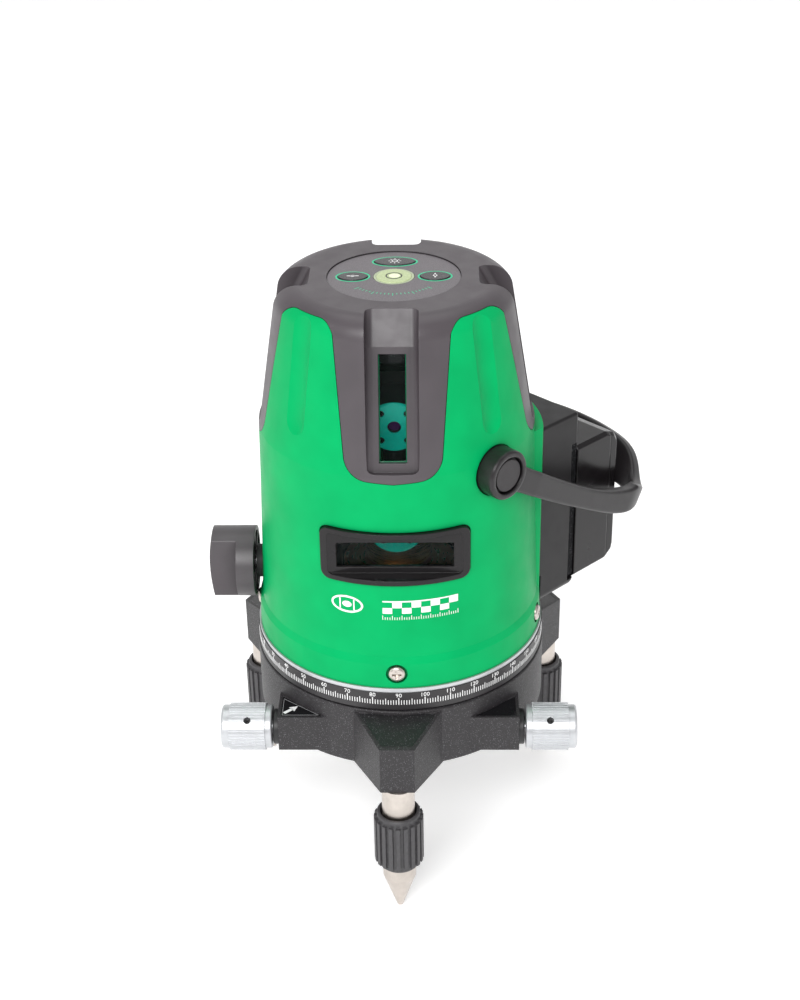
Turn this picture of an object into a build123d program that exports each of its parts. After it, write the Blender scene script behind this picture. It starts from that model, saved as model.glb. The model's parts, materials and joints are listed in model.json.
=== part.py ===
"""Self-levelling cross-line laser on a graduated rotating base with three screw feet.

Millimetres, +Z up. The origin is the centre of the tripod thread's mouth, on the vertical axis,
in the flat underside of the base. -Y is the instrument's front, and the battery pack sits between
the right (+X) and rear (+Y) windows.
"""

from build123d import *
import math
import os

os.makedirs("parts", exist_ok=True)

# ---- driving dimensions -------------------------------------------------------------------

# base
DRUM_R = 52.5
DRUM_TOP = 23.6
DRUM_WALL_IN_R = 47.5
DRUM_FLOOR = 4.0
BOSS_R = 18.0
BOSS_TOP = 15.6
ARM_ANGLES = {"front": 0, "right": 120, "left": 240}
ARM_FACE_R = 67.0
ARM_HALF_WIDE = 15.6
ARM_HALF_NARROW = 5.9
ARM_TOP_OUT = 18.1
ARM_TOP_IN = 22.6
WING_X = 42.5
WING_FRONT_Y = 46.2
WING_Z = (2.5, 16.5)
LABEL_DEEP = 0.5

# legs
LEG_R = 62.4
POST_R = 5.75
POST_LOW = -22.0
STUD_R = 4.0
COLLAR_R = 8.7
COLLAR_Z = (-34.0, -11.0)
FOOT_TIP_Z = -54.0
RUNNING_GAP = 0.05

# fine motion drive
WORM_Y = -40.0
WORM_Z = 8.3
WORM_PITCH = 3.0
WORM_ROOT_R = 3.2
WORM_TIP_R = 4.7
WHEEL_TEETH = 75
SHAFT_R = 3.0
KNOB_R = 8.4
KNOB_X = (44.8, 62.8)

# turret
SPINDLE_R = 8.0
RING_Z = (24.2, 31.2)
SILVER_Z = (31.2, 32.7)
SHELL_LOW = 32.7
TOP_Z = 163.5
SIDE_LOW = (47.7, 112.0)
SIDE_TOP = (39.7, TOP_Z)
BEND_ROUND = 3.0
RIM_ROUND = 8.0
SEAM = 0.2
TONGUE_TOP_HALF = 19.1
TONGUE_LOW_HALF = 15.5
TONGUE_LOW_Z = 110.6
PETAL_LOW_HALF = 15.2
PETAL_LOW_Z = 140.0
PETAL_TOP_HALF = 12.9
PETAL_TOP_Z = 161.6
PETAL_ROUND = 8.5
PETAL_DEPTH_R = 34.7
RIM_LOW_Z = 150.0
FLUTE_R = 8.5
FLUTE_DEPTH = 1.3
FLUTE_LENGTH = 38.5
CHANNEL_HALF = 8.6
CHANNEL_SILL_Z = 113.5
LABEL_R = 22.2

# horizontal window
HWIN_HALF = 25.0
HWIN_Z = (72.8, 92.3)
HGLASS_HALF = 19.6
HGLASS_Z = (77.0, 86.3)
HPANEL_Y = 44.0

# battery side
BATTERY_ANGLE = 135
BATTERY_HALF = 36.0
HOUSING_Z = (34.0, 106.0)
HOUSING_U = 55.0
HOUSING_U_LOW = 51.5
RAIL_Z = (38.0, 93.5)
PACK_U = (56.1, 79.0)
PACK_Z = (36.5, 91.2)

# handle
PIVOT_Z = 108.0
HANDLE_TILT = 30.5
HUB_R = 8.6
HUB_V = (46.2, 53.6)
HANDLE_REACH = 95.0
HANDLE_CORNER_V = 47.0
HANDLE_CORNER_R = 18.0

# lock knob
LOCK_Z = 53.2
LOCK_R = 12.85

# pendulum
GIMBAL_Z = 143.0
MODULE_Z = 121.0
HMODULE_Z = 82.4


# ---- helpers ------------------------------------------------------------------------------

def save(part, name):
    """Label a finished piece and write its STEP file."""
    part.label = name
    export_step(part, f"parts/{name}.step")


def turned(points, plane=Plane.XZ, axis=Axis.Z):
    """A solid of revolution from an (r, z) outline."""
    with BuildPart() as body:
        with BuildSketch(plane):
            with BuildLine():
                Polyline(*points, close=True)
            make_face()
        revolve(axis=axis)
    return body.part


def tube(r_out, r_in, z0, z1):
    """A plain ring about the vertical axis."""
    with BuildPart() as body:
        with BuildSketch(Plane.XY.offset(z0)):
            Circle(r_out)
            Circle(r_in, mode=Mode.SUBTRACT)
        extrude(amount=z1 - z0)
    return body.part


def facing(angle, distance=0.0, z=0.0):
    """Plane whose normal looks outward at an azimuth: local x is tangential, local y is up."""
    a = math.radians(angle)
    out = Vector(math.sin(a), -math.cos(a), 0)
    side = Vector(math.cos(a), math.sin(a), 0)
    return Plane(origin=out * distance + Vector(0, 0, z), x_dir=side, z_dir=out)


def radial_section(angle):
    """Vertical plane through the axis at an azimuth: local x is outward, local y is up."""
    a = math.radians(angle)
    out = Vector(math.sin(a), -math.cos(a), 0)
    normal = out.cross(Vector(0, 0, 1))
    return Plane(origin=(0, 0, 0), x_dir=out, z_dir=normal)


def group(name, pieces):
    """Write several separate solids as one node."""
    save(Compound(children=list(pieces)), name)


def pan_head_screw(head_r, head_h, shank_r, length):
    """Cross-recess pan head screw, head outward along +Z, shank below z = 0."""
    with BuildPart() as screw:
        with BuildSketch(Plane.XY):
            Circle(head_r)
        extrude(amount=head_h)
        fillet(screw.edges().group_by(Axis.Z)[-1], head_h * 0.6)
        with BuildSketch(Plane.XY):
            Circle(shank_r)
        extrude(amount=-length)
        with BuildSketch(Plane.XY.offset(head_h)):
            Rectangle(head_r * 1.1, head_r * 0.26)
            Rectangle(head_r * 0.26, head_r * 1.1)
        extrude(amount=-head_h * 0.6, mode=Mode.SUBTRACT)
    return screw.part


# ---- base casting -------------------------------------------------------------------------

with BuildPart() as arm_block:
    with BuildSketch(Plane.XY):
        with BuildLine():
            Polyline(
                (-ARM_HALF_WIDE - 2.0, -44.0),
                (-ARM_HALF_WIDE, -49.8),
                (-ARM_HALF_NARROW, -ARM_FACE_R),
                (ARM_HALF_NARROW, -ARM_FACE_R),
                (ARM_HALF_WIDE, -49.8),
                (ARM_HALF_WIDE + 2.0, -44.0),
                close=True,
            )
        make_face()
    extrude(amount=ARM_TOP_IN)
    with BuildSketch(Plane.YZ):
        with BuildLine():
            Polyline(
                (-ARM_FACE_R - 1, ARM_TOP_OUT - 0.3),
                (-50.0, ARM_TOP_IN),
                (-50.0, ARM_TOP_IN + 5),
                (-ARM_FACE_R - 1, ARM_TOP_IN + 5),
                close=True,
            )
        make_face()
    extrude(amount=30, both=True, mode=Mode.SUBTRACT)

with BuildPart() as base_casting:
    with BuildSketch(Plane.XY):
        Circle(DRUM_R)
    extrude(amount=DRUM_TOP)
    fillet(base_casting.edges().group_by(Axis.Z)[0], 1.0)
    fillet(base_casting.edges().group_by(Axis.Z)[-1], 0.6)
    with BuildSketch(Plane.XY.offset(WING_Z[0])):
        with Locations((0, -(WING_FRONT_Y + 30) / 2)):
            Rectangle(2 * WING_X, WING_FRONT_Y - 30)
    extrude(amount=WING_Z[1] - WING_Z[0])
    for arm_angle in ARM_ANGLES.values():
        add(arm_block.part.rotate(Axis.Z, arm_angle))
    with BuildSketch(Plane.XY.offset(DRUM_FLOOR)):
        Circle(DRUM_WALL_IN_R)
        Circle(BOSS_R, mode=Mode.SUBTRACT)
    extrude(amount=DRUM_TOP, mode=Mode.SUBTRACT)
    with BuildSketch(Plane.XY.offset(BOSS_TOP)):
        Circle(BOSS_R + 1)
    extrude(amount=DRUM_TOP, mode=Mode.SUBTRACT)
    # bore for the tripod insert, with a step for its flange
    with BuildSketch(Plane.XY):
        Circle(9.5)
    extrude(amount=DRUM_TOP, mode=Mode.SUBTRACT)
    with BuildSketch(Plane.XY.offset(BOSS_TOP - 2.0)):
        Circle(12.0)
    extrude(amount=DRUM_TOP, mode=Mode.SUBTRACT)
    # worm tunnel and bush seats
    with BuildSketch(Plane.YZ.offset(-WING_X - 1)):
        with Locations((WORM_Y, WORM_Z)):
            Circle(5.0)
    extrude(amount=2 * WING_X + 2, mode=Mode.SUBTRACT)
    # threaded seats for the leg posts
    with BuildSketch(Plane.XY):
        with PolarLocations(LEG_R, 3, start_angle=-90):
            Circle(3.0)
    extrude(amount=12, mode=Mode.SUBTRACT)
    # screw holes of the spindle flange
    with BuildSketch(Plane.XY.offset(BOSS_TOP)):
        with PolarLocations(14.6, 3, start_angle=30):
            Circle(1.25)
    extrude(amount=-8, mode=Mode.SUBTRACT)

# shallow seats for the glossy plates on the arms and wings
WING_PLATE = ((-41.3, -33.6), (-41.3, -45.0), (-26.6, -45.0))
ARM_PLATE = ((-13.4, -51.6), (13.4, -51.6), (5.4, -65.7), (-5.4, -65.7))
arm_slope = math.degrees(math.atan2(ARM_TOP_IN - ARM_TOP_OUT + 0.3, ARM_FACE_R + 1 - 50.0))
arm_top_plane = Plane(
    origin=(0, -50.0, ARM_TOP_IN),
    x_dir=(1, 0, 0),
    z_dir=(0, -math.sin(math.radians(arm_slope)), math.cos(math.radians(arm_slope))),
)


def wing_plate(side, top, depth):
    """Triangular plate on top of a wing; side is 1 for the left wing, -1 for the right."""
    with BuildPart() as plate:
        with BuildSketch(Plane.XY.offset(top)):
            with BuildLine():
                Polyline(*[(side * x, y) for x, y in WING_PLATE], close=True)
            make_face()
        extrude(amount=-depth)
    return plate.part


def arm_plate(depth):
    """Trapezoid plate on the sloping top of the front arm."""
    with BuildPart() as plate:
        with BuildSketch(arm_top_plane):
            with BuildLine():
                Polyline(*[(x, y + 50.0) for x, y in ARM_PLATE], close=True)
            make_face()
        extrude(amount=-depth)
    return plate.part


base_seated = base_casting.part
for side in (1, -1):
    base_seated = base_seated - wing_plate(side, WING_Z[1], LABEL_DEEP)
for arm_angle in ARM_ANGLES.values():
    base_seated = base_seated - arm_plate(LABEL_DEEP).rotate(Axis.Z, arm_angle)
save(base_seated, "base_casting")
plate_drop = arm_top_plane.z_dir * -0.05
group(
    "base_cover_plates",
    [wing_plate(side, WING_Z[1] - 0.05, LABEL_DEEP - 0.05) for side in (1, -1)]
    + [arm_plate(LABEL_DEEP - 0.05).translate(plate_drop).rotate(Axis.Z, a) for a in ARM_ANGLES.values()],
)

# ---- tripod thread insert and spindle -----------------------------------------------------

TRIPOD_MINOR_R = 6.75
save(
    turned([
        (TRIPOD_MINOR_R, 0), (9.5, 0), (9.5, BOSS_TOP - 2.0), (12.0, BOSS_TOP - 2.0),
        (12.0, BOSS_TOP), (TRIPOD_MINOR_R, BOSS_TOP),
    ]),
    "tripod_thread_insert",
)

SPINDLE_TOP = 38.0
with BuildPart() as spindle:
    with BuildSketch(Plane.XY.offset(BOSS_TOP)):
        Circle(17.5)
        with PolarLocations(14.6, 3, start_angle=30):
            Circle(1.6, mode=Mode.SUBTRACT)
    extrude(amount=2.4)
    with BuildSketch(Plane.XY.offset(BOSS_TOP)):
        Circle(SPINDLE_R)
    extrude(amount=SPINDLE_TOP - BOSS_TOP)
    with BuildSketch(Plane.XY.offset(BOSS_TOP)):
        Circle(5.0)
    extrude(amount=SPINDLE_TOP, mode=Mode.SUBTRACT)
    with BuildSketch(Plane.XY.offset(35.2)):
        Circle(SPINDLE_R + 1)
        Circle(7.2, mode=Mode.SUBTRACT)
    extrude(amount=1.2, mode=Mode.SUBTRACT)
save(spindle.part, "spindle")
save(tube(10.6, 7.2, 35.2, 36.4), "spindle_retaining_ring")

flange_screw = pan_head_screw(2.4, 1.2, 1.25, 6.0)
group(
    "spindle_screws",
    [
        flange_screw.translate((14.6, 0, BOSS_TOP + 2.4)).rotate(Axis.Z, 30 + 120 * k)
        for k in range(3)
    ],
)

# ---- legs ---------------------------------------------------------------------------------

with BuildPart() as leg_post:
    with BuildSketch(Plane.XY):
        Circle(POST_R)
    extrude(amount=POST_LOW)
    with BuildSketch(Plane.XY):
        Circle(2.95)
    extrude(amount=11.5)
    with BuildSketch(Plane.XY.offset(POST_LOW)):
        Circle(STUD_R + RUNNING_GAP)
    extrude(amount=-POST_LOW - 1.5, mode=Mode.SUBTRACT)
    chamfer(leg_post.edges().filter_by(GeomType.CIRCLE).group_by(Axis.Z)[0].sort_by(SortBy.RADIUS)[-1], 0.4)

with BuildPart() as foot:
    with BuildSketch(Plane.XZ):
        with BuildLine():
            Polyline(
                (0, FOOT_TIP_Z), (1.1, FOOT_TIP_Z), (5.9, -39.6), (5.9, COLLAR_Z[0]),
                (STUD_R, COLLAR_Z[0]), (STUD_R, -9.0), (3.5, -8.5), (0, -8.5), close=True,
            )
        make_face()
    revolve(axis=Axis.Z)

RIB_COUNT = 20
with BuildPart() as collar:
    with BuildSketch(Plane.XZ):
        with BuildLine():
            Polyline(
                (STUD_R + RUNNING_GAP, COLLAR_Z[0]), (6.9, COLLAR_Z[0]), (7.5, -33.2), (7.5, -31.6),
                (7.9, -31.0), (7.9, -13.9), (7.6, -13.2), (7.6, -11.4), (7.2, COLLAR_Z[1]),
                (6.5, COLLAR_Z[1]), (6.5, -29.0), (STUD_R + RUNNING_GAP, -29.0), close=True,
            )
        make_face()
    revolve(axis=Axis.Z)
    with PolarLocations(7.8, RIB_COUNT):
        with Locations((0, 0, -22.6)):
            Box(2 * (COLLAR_R - 7.8), 1.5, 18.6)
    chamfer(collar.edges().filter_by(Axis.Z).sort_by_distance((0, 0, -22.6))[-2 * RIB_COUNT:], 0.35)

posts = []
for leg_name, leg_angle in ARM_ANGLES.items():
    posts.append(leg_post.part.translate((0, -LEG_R, 0)).rotate(Axis.Z, leg_angle))
    for piece, node in ((foot, "foot"), (collar, "foot_collar")):
        placed = piece.part.translate((0, -LEG_R, 0)).rotate(Axis.Z, leg_angle)
        save(placed, f"{node}_{leg_name}")
group("leg_posts", posts)

# ---- fine motion: worm shaft, bushes and knobs --------------------------------------------

worm_plane = Plane(origin=(0, WORM_Y, WORM_Z), x_dir=(0, 1, 0), z_dir=(1, 0, 0))
WORM_HALF_LENGTH = 9.0

with BuildPart() as worm_thread:
    with BuildLine():
        Helix(WORM_PITCH, 2 * WORM_HALF_LENGTH, WORM_ROOT_R - 0.1)
    with BuildSketch(Plane(origin=(WORM_ROOT_R - 0.1, 0, 0), x_dir=(1, 0, 0), z_dir=(0, 1, 0))):
        with BuildLine():
            Polyline((0, -0.75), (WORM_TIP_R - WORM_ROOT_R + 0.1, -0.4),
                     (WORM_TIP_R - WORM_ROOT_R + 0.1, 0.4), (0, 0.75), close=True)
        make_face()
    sweep(is_frenet=True)

with BuildPart() as worm_shaft:
    with BuildSketch(Plane.XY.offset(-61.0)):
        Circle(SHAFT_R)
    extrude(amount=122.0)
    with BuildSketch(Plane.XY.offset(-WORM_HALF_LENGTH - 2)):
        Circle(WORM_ROOT_R)
    extrude(amount=2 * WORM_HALF_LENGTH + 4)
    add(worm_thread.part.translate((0, 0, -WORM_HALF_LENGTH)))
save(worm_plane.from_local_coords(worm_shaft.part), "worm_shaft")

with BuildPart() as worm_bush:
    with BuildSketch(Plane.XY.offset(WING_X - 9)):
        Circle(4.95)
        Circle(SHAFT_R + RUNNING_GAP, mode=Mode.SUBTRACT)
    extrude(amount=9)
    with BuildSketch(Plane.XY.offset(WING_X)):
        Circle(6.3)
        Circle(SHAFT_R + RUNNING_GAP, mode=Mode.SUBTRACT)
    extrude(amount=1.9)
    fillet(worm_bush.edges().group_by(Axis.Z)[-1].sort_by(SortBy.RADIUS)[-1], 0.5)
bush_right = worm_plane.from_local_coords(worm_bush.part)
group("worm_bushes", [bush_right, bush_right.mirror(Plane.YZ)])

KNOB_RIBS = 44
with BuildPart() as fine_knob:
    with BuildSketch(Plane.XY.offset(KNOB_X[0])):
        Circle(7.7)
    extrude(amount=KNOB_X[1] - KNOB_X[0])
    fillet(fine_knob.edges().group_by(Axis.Z)[-1], 0.9)
    fillet(fine_knob.edges().group_by(Axis.Z)[0], 0.6)
    with BuildSketch(Plane.XY.offset(KNOB_X[0] + 2.3)):
        Circle(KNOB_R)
        with PolarLocations(KNOB_R, KNOB_RIBS):
            Rectangle(0.5, 0.5, mode=Mode.SUBTRACT)
    extrude(amount=12.8)
    with BuildSketch(Plane.XY.offset(KNOB_X[0])):
        Circle(SHAFT_R)
    extrude(amount=61.0 - KNOB_X[0], mode=Mode.SUBTRACT)
    # shallow turned face in the end
    with BuildSketch(Plane.XY.offset(KNOB_X[1])):
        Circle(5.4)
    extrude(amount=-0.5, mode=Mode.SUBTRACT)
    with BuildSketch(Plane(origin=(0, 0, KNOB_X[0] + 8.5), x_dir=(0, 0, 1), z_dir=(-0.643, 0.766, 0))):
        Circle(1.25)
    extrude(amount=12.0, mode=Mode.SUBTRACT)
grub_normal = Vector(-0.643, 0.766, 0)
with BuildPart() as knob_grub:
    with BuildSketch(Plane(origin=grub_normal * SHAFT_R + Vector(0, 0, KNOB_X[0] + 8.5),
                           x_dir=(0, 0, 1), z_dir=grub_normal)):
        Circle(1.2)
        RegularPolygon(0.65, 6, mode=Mode.SUBTRACT)
    extrude(amount=3.6)
knob_right = worm_plane.from_local_coords(fine_knob.part)
grub_right = worm_plane.from_local_coords(knob_grub.part)
save(knob_right, "fine_knob_right")
save(knob_right.mirror(Plane.YZ), "fine_knob_left")
group("knob_grub_screws", [grub_right, grub_right.mirror(Plane.YZ)])

# ---- worm wheel and friction washer -------------------------------------------------------

WHEEL_TIP_R = -WORM_Y - WORM_ROOT_R - 0.35
WHEEL_ROOT_R = -WORM_Y - WORM_TIP_R - 0.35
with BuildPart() as worm_wheel:
    with BuildSketch(Plane.XY.offset(DRUM_FLOOR + 0.4)):
        Circle(WHEEL_ROOT_R)
    extrude(amount=9.6)
    with BuildSketch(Plane.XY.offset(WORM_Z - 1.9)):
        Circle(WHEEL_ROOT_R)
        with PolarLocations(WHEEL_ROOT_R - 0.2, WHEEL_TEETH, start_angle=-90 + 180 / WHEEL_TEETH):
            with BuildLine():
                Polyline((0, -0.62), (WHEEL_TIP_R - WHEEL_ROOT_R + 0.2, -0.36),
                         (WHEEL_TIP_R - WHEEL_ROOT_R + 0.2, 0.36), (0, 0.62), close=True)
            make_face()
    extrude(amount=3.8)
    with BuildSketch(Plane.XY.offset(DRUM_FLOOR + 0.4)):
        Circle(BOSS_R + RUNNING_GAP)
    extrude(amount=9.6, mode=Mode.SUBTRACT)
save(worm_wheel.part, "worm_wheel")
save(tube(31.0, 22.0, 14.0, 15.65), "friction_washer")

# ---- turret carrier, bearing and rings ----------------------------------------------------

SHELL_SCREW_ANGLES = (0, 76, 194, 270)
SHELL_SCREW_Z = 38.4
carrier = turned([
    (13.0, 20.0), (20.5, 20.0), (20.5, 15.7), (32.5, 15.7), (32.5, 20.0), (46.5, 20.0),
    (46.5, RING_Z[0]), (49.5, RING_Z[0]), (49.5, RING_Z[1]), (48.9, RING_Z[1]), (48.9, SHELL_LOW),
    (48.1, SHELL_LOW), (48.1, 41.0), (44.0, 41.0), (44.0, SHELL_LOW), (42.0, SHELL_LOW),
    (42.0, 24.0), (17.0, 24.0), (17.0, 34.6), (13.0, 34.6),
])
with BuildPart() as rim_holes:
    for angle in SHELL_SCREW_ANGLES:
        with BuildSketch(facing(angle, 42.0, SHELL_SCREW_Z)):
            Circle(1.65)
        extrude(amount=8)
save(carrier - rim_holes.part, "turret_carrier")
save(tube(13.0, SPINDLE_R + RUNNING_GAP, 24.0, 34.0), "turret_bearing")
save(tube(52.1, 49.5, RING_Z[0], RING_Z[1]), "graduated_ring")
save(tube(51.8, 48.9, SILVER_Z[0], SILVER_Z[1]), "trim_ring")

# ---- turret envelope and the cutters that split it ----------------------------------------

with BuildPart() as envelope:
    with BuildSketch(Plane.XZ) as side_profile:
        with BuildLine():
            Polyline(
                (0, SHELL_LOW), (51.2, SHELL_LOW), (50.9, 42.0), (49.9, 44.6), (49.3, 58.0),
                (48.1, 94.0), SIDE_LOW, SIDE_TOP, (0, TOP_Z), close=True,
            )
        make_face()
        fillet([v for v in side_profile.vertices() if 50.0 < v.Y < 115.0 and v.X > 10], BEND_ROUND)
        fillet([v for v in side_profile.vertices() if v.Y > TOP_Z - 0.1 and v.X > 10], RIM_ROUND)
    revolve(axis=Axis.Z)

hollow = turned([
    (0, SHELL_LOW - 1), (48.9, SHELL_LOW - 1), (48.9, 36.0), (48.3, 41.0), (47.3, 44.6), (46.9, 58.0),
    (45.7, 94.0), (45.3, 111.8), (38.4, 156.5), (34.5, 161.0), (0, 161.0),
])


def tongue_prism(angle, clearance=0.0):
    """Radial prism with a tongue's outline: tapered sides and a rounded lower end."""
    with BuildPart() as prism:
        with BuildSketch(facing(angle, 20.0)):
            with BuildLine():
                Polyline(
                    (-TONGUE_TOP_HALF - clearance, TOP_Z + 2),
                    (-TONGUE_LOW_HALF - clearance, TONGUE_LOW_Z + 0.9 - clearance),
                    (0, TONGUE_LOW_Z - 0.4 - clearance),
                    (TONGUE_LOW_HALF + clearance, TONGUE_LOW_Z + 0.9 - clearance),
                    (TONGUE_TOP_HALF + clearance, TOP_Z + 2),
                    close=True,
                )
            outline = make_face()
            corners = [v for v in outline.vertices() if v.Y < 114.0 and abs(v.X) > 1]
            fillet(corners, 8.0 + clearance)
        extrude(amount=60)
    return prism.part


def petal_prism(angle, clearance=0.0):
    """Radial prism with the rounded top of a shell petal, open downward."""
    with BuildPart() as prism:
        with BuildSketch(facing(angle, PETAL_DEPTH_R)):
            with BuildLine():
                Polyline(
                    (-PETAL_LOW_HALF + clearance, PETAL_LOW_Z),
                    (-PETAL_TOP_HALF + clearance, PETAL_TOP_Z - clearance),
                    (PETAL_TOP_HALF - clearance, PETAL_TOP_Z - clearance),
                    (PETAL_LOW_HALF - clearance, PETAL_LOW_Z),
                    close=True,
                )
            outline = make_face()
            top_corners = [v for v in outline.vertices() if v.Y > PETAL_LOW_Z + 1]
            fillet(top_corners, PETAL_ROUND - clearance)
        extrude(amount=60)
    return prism.part


def channel_prism(angle, grow=0.0, round_back=2.5):
    """Exit channel of a vertical laser fan: it leans back and opens through the top."""
    with BuildPart() as prism:
        with BuildSketch(radial_section(angle)):
            with BuildLine():
                Polyline(
                    (28.2 - grow, TOP_Z + 4), (28.2 - grow, TOP_Z), (34.0 - grow, 152.7),
                    (45.3 - grow, CHANNEL_SILL_Z - grow), (62.0, CHANNEL_SILL_Z - grow),
                    (62.0, TOP_Z + 4), close=True,
                )
            make_face()
        extrude(amount=CHANNEL_HALF + grow, both=True)
        ends = prism.faces().filter_by(lambda f: abs(f.normal_at().dot(radial_section(angle).z_dir)) > 0.99)
        if round_back:
            back_edges = [
                e for face_ in ends for e in face_.edges()
                if Vector(e.center().X, e.center().Y, 0).dot(radial_section(angle).x_dir) < 44.0
                and e.center().Z < TOP_Z + 1 and e.length > 5
            ]
            sill_edges = [
                e for face_ in ends for e in face_.edges() if abs(e.center().Z - CHANNEL_SILL_Z) < 0.1
            ]
            fillet(back_edges + sill_edges, round_back)
    return prism.part


FRONT_ANGLES = (0, 90, 180, 270)
PETAL_ANGLES = (45, 135, 225, 315)


# black cover: rim, roof and the four tongues with their channels
rim_zone = Pos(0, 0, (TOP_Z + 2 + RIM_LOW_Z) / 2) * Cylinder(60.0, TOP_Z + 2 - RIM_LOW_Z)
black_zone = rim_zone
for angle in PETAL_ANGLES:
    black_zone = black_zone - petal_prism(angle)
for angle in FRONT_ANGLES:
    black_zone = black_zone + tongue_prism(angle)

green_zone_cut = rim_zone
for angle in PETAL_ANGLES:
    green_zone_cut = green_zone_cut - petal_prism(angle, SEAM)
for angle in FRONT_ANGLES:
    green_zone_cut = green_zone_cut + tongue_prism(angle, SEAM)

skin = envelope.part - hollow
cover = skin & black_zone
for angle in FRONT_ANGLES:
    wall = (envelope.part & channel_prism(angle, 2.0, 0)) & tongue_prism(angle)
    cover = cover + wall
for angle in FRONT_ANGLES:
    cover = cover - channel_prism(angle)

FACE_TILT = math.degrees(math.atan2(45.3 - 34.0, 152.7 - 113.5))
WINDOW_MID = ((45.3 + 34.0) / 2 - 0.4, (152.7 + 113.5) / 2 + 0.2)


def window_plane(angle, depth=0.0):
    """Plane on a channel's leaning face: local x tangential, local y up the face."""
    tilt = math.radians(FACE_TILT)
    base = facing(angle)
    normal = base.z_dir * math.cos(tilt) + Vector(0, 0, 1) * math.sin(tilt)
    centre = base.z_dir * WINDOW_MID[0] + Vector(0, 0, WINDOW_MID[1])
    return Plane(origin=centre - normal * depth, x_dir=base.x_dir, z_dir=normal)


WINDOW_HALF = (4.5, 17.8)
GLASS_HALF = (6.6, 19.2)
with BuildPart() as window_cut:
    for angle in FRONT_ANGLES:
        with BuildSketch(window_plane(angle, 6.0)):
            Rectangle(2 * WINDOW_HALF[0], 2 * WINDOW_HALF[1])
        extrude(amount=9.0)
with BuildPart() as roof_cut:
    with BuildSketch(Plane.XY.offset(TOP_Z)):
        Circle(LABEL_R + 0.2)
    extrude(amount=-1.3)
    with BuildSketch(Plane.XY.offset(TOP_Z)):
        Circle(7.2)
        with Locations((-13.7, 0), (13.7, 0)):
            Ellipse(5.4, 4.2)
        with Locations((0, 13.3)):
            Ellipse(7.4, 4.2)
    extrude(amount=-6.0)
cover = cover - window_cut.part - roof_cut.part
save(cover, "top_cover")

glasses = []
for angle in FRONT_ANGLES:
    with BuildPart() as glass:
        with BuildSketch(window_plane(angle, 3.35)):
            Rectangle(2 * GLASS_HALF[0], 2 * GLASS_HALF[1])
        extrude(amount=1.2)
    glasses.append(glass.part)

# ---- green barrel shell -------------------------------------------------------------------

battery_u = facing(BATTERY_ANGLE).z_dir
UP = Vector(0, 0, 1)


def battery_box(u0, u1, half, z0, z1):
    """Box in the battery side's own directions: u outward, half width sideways."""
    with BuildPart() as block:
        with BuildSketch(facing(BATTERY_ANGLE, u0)):
            with Locations((0, (z0 + z1) / 2)):
                Rectangle(2 * half, z1 - z0)
        extrude(amount=u1 - u0)
    return block.part


PAD_R = 50.8
with BuildPart() as battery_pad:
    with BuildSketch(Plane.XY.offset(HOUSING_Z[0])):
        Circle(PAD_R)
        Circle(44.0, mode=Mode.SUBTRACT)
    extrude(amount=HOUSING_Z[1] - HOUSING_Z[0] + 2)
    add(battery_box(20.0, 60.0, BATTERY_HALF + 1.6, 30.0, 110.0), mode=Mode.INTERSECT)
    upright = battery_pad.edges().filter_by(Axis.Z).filter_by(
        lambda e: Vector(e.center().X, e.center().Y, 0).length > 50
    )
    fillet(upright, 1.5)


def flute(angle):
    """Long shallow groove down a shell petal."""
    out = facing(angle).z_dir
    lean = math.atan2(SIDE_LOW[0] - SIDE_TOP[0], SIDE_TOP[1] - SIDE_LOW[1])
    down = out * math.sin(lean) - UP * math.cos(lean)
    normal = out * math.cos(lean) + UP * math.sin(lean)
    start = out * SIDE_TOP[0] + UP * SIDE_TOP[1] + normal * (FLUTE_R - FLUTE_DEPTH)
    with BuildPart() as groove:
        with BuildSketch(Plane(origin=start, z_dir=down)):
            Circle(FLUTE_R)
        extrude(amount=FLUTE_LENGTH)
        with Locations(start + down * FLUTE_LENGTH):
            Sphere(FLUTE_R)
    return groove.part


def hub_seat(angle):
    """Flat round seat for a handle hub."""
    with BuildPart() as seat:
        with BuildSketch(facing(angle, HUB_V[0] - 0.2, PIVOT_Z)):
            Circle(HUB_R + 0.35)
        extrude(amount=10)
    return seat.part


with BuildPart() as pivot_bosses:
    for angle in (45, 225):
        with BuildSketch(facing(angle, 41.0, PIVOT_Z)):
            Circle(HUB_R + 1.5)
        extrude(amount=6.0)

with BuildPart() as shell_cuts:
    # horizontal window
    with BuildSketch(Plane.XZ.offset(20)):
        with Locations((0, (HWIN_Z[0] + HWIN_Z[1]) / 2)):
            RectangleRounded(2 * HWIN_HALF + 0.3, HWIN_Z[1] - HWIN_Z[0] + 0.3, 3.1)
    extrude(amount=40)
    # flange screws: counterbore and clearance hole
    for angle in SHELL_SCREW_ANGLES:
        with BuildSketch(facing(angle, 49.9, SHELL_SCREW_Z)):
            Circle(3.7)
        extrude(amount=5)
        with BuildSketch(facing(angle, 44.0, SHELL_SCREW_Z)):
            Circle(1.7)
        extrude(amount=8)
    # lock knob bush, handle pivots and the cable way into the battery housing
    with BuildSketch(facing(270, 40.0, LOCK_Z)):
        Circle(6.0)
    extrude(amount=14)
    for angle in (45, 225):
        with BuildSketch(facing(angle, 30.0, PIVOT_Z)):
            Circle(3.0)
        extrude(amount=25)
    with BuildSketch(facing(BATTERY_ANGLE, 30.0, 70.0)):
        RectangleRounded(30.0, 20.0, 3.0)
    extrude(amount=25)

barrel = skin + (battery_pad.part - hollow) + (pivot_bosses.part & envelope.part)
barrel = barrel - green_zone_cut - shell_cuts.part
for angle in PETAL_ANGLES:
    barrel = barrel - flute(angle)
for angle in (45, 225):
    barrel = barrel - hub_seat(angle)
save(barrel, "barrel_shell")

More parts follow.
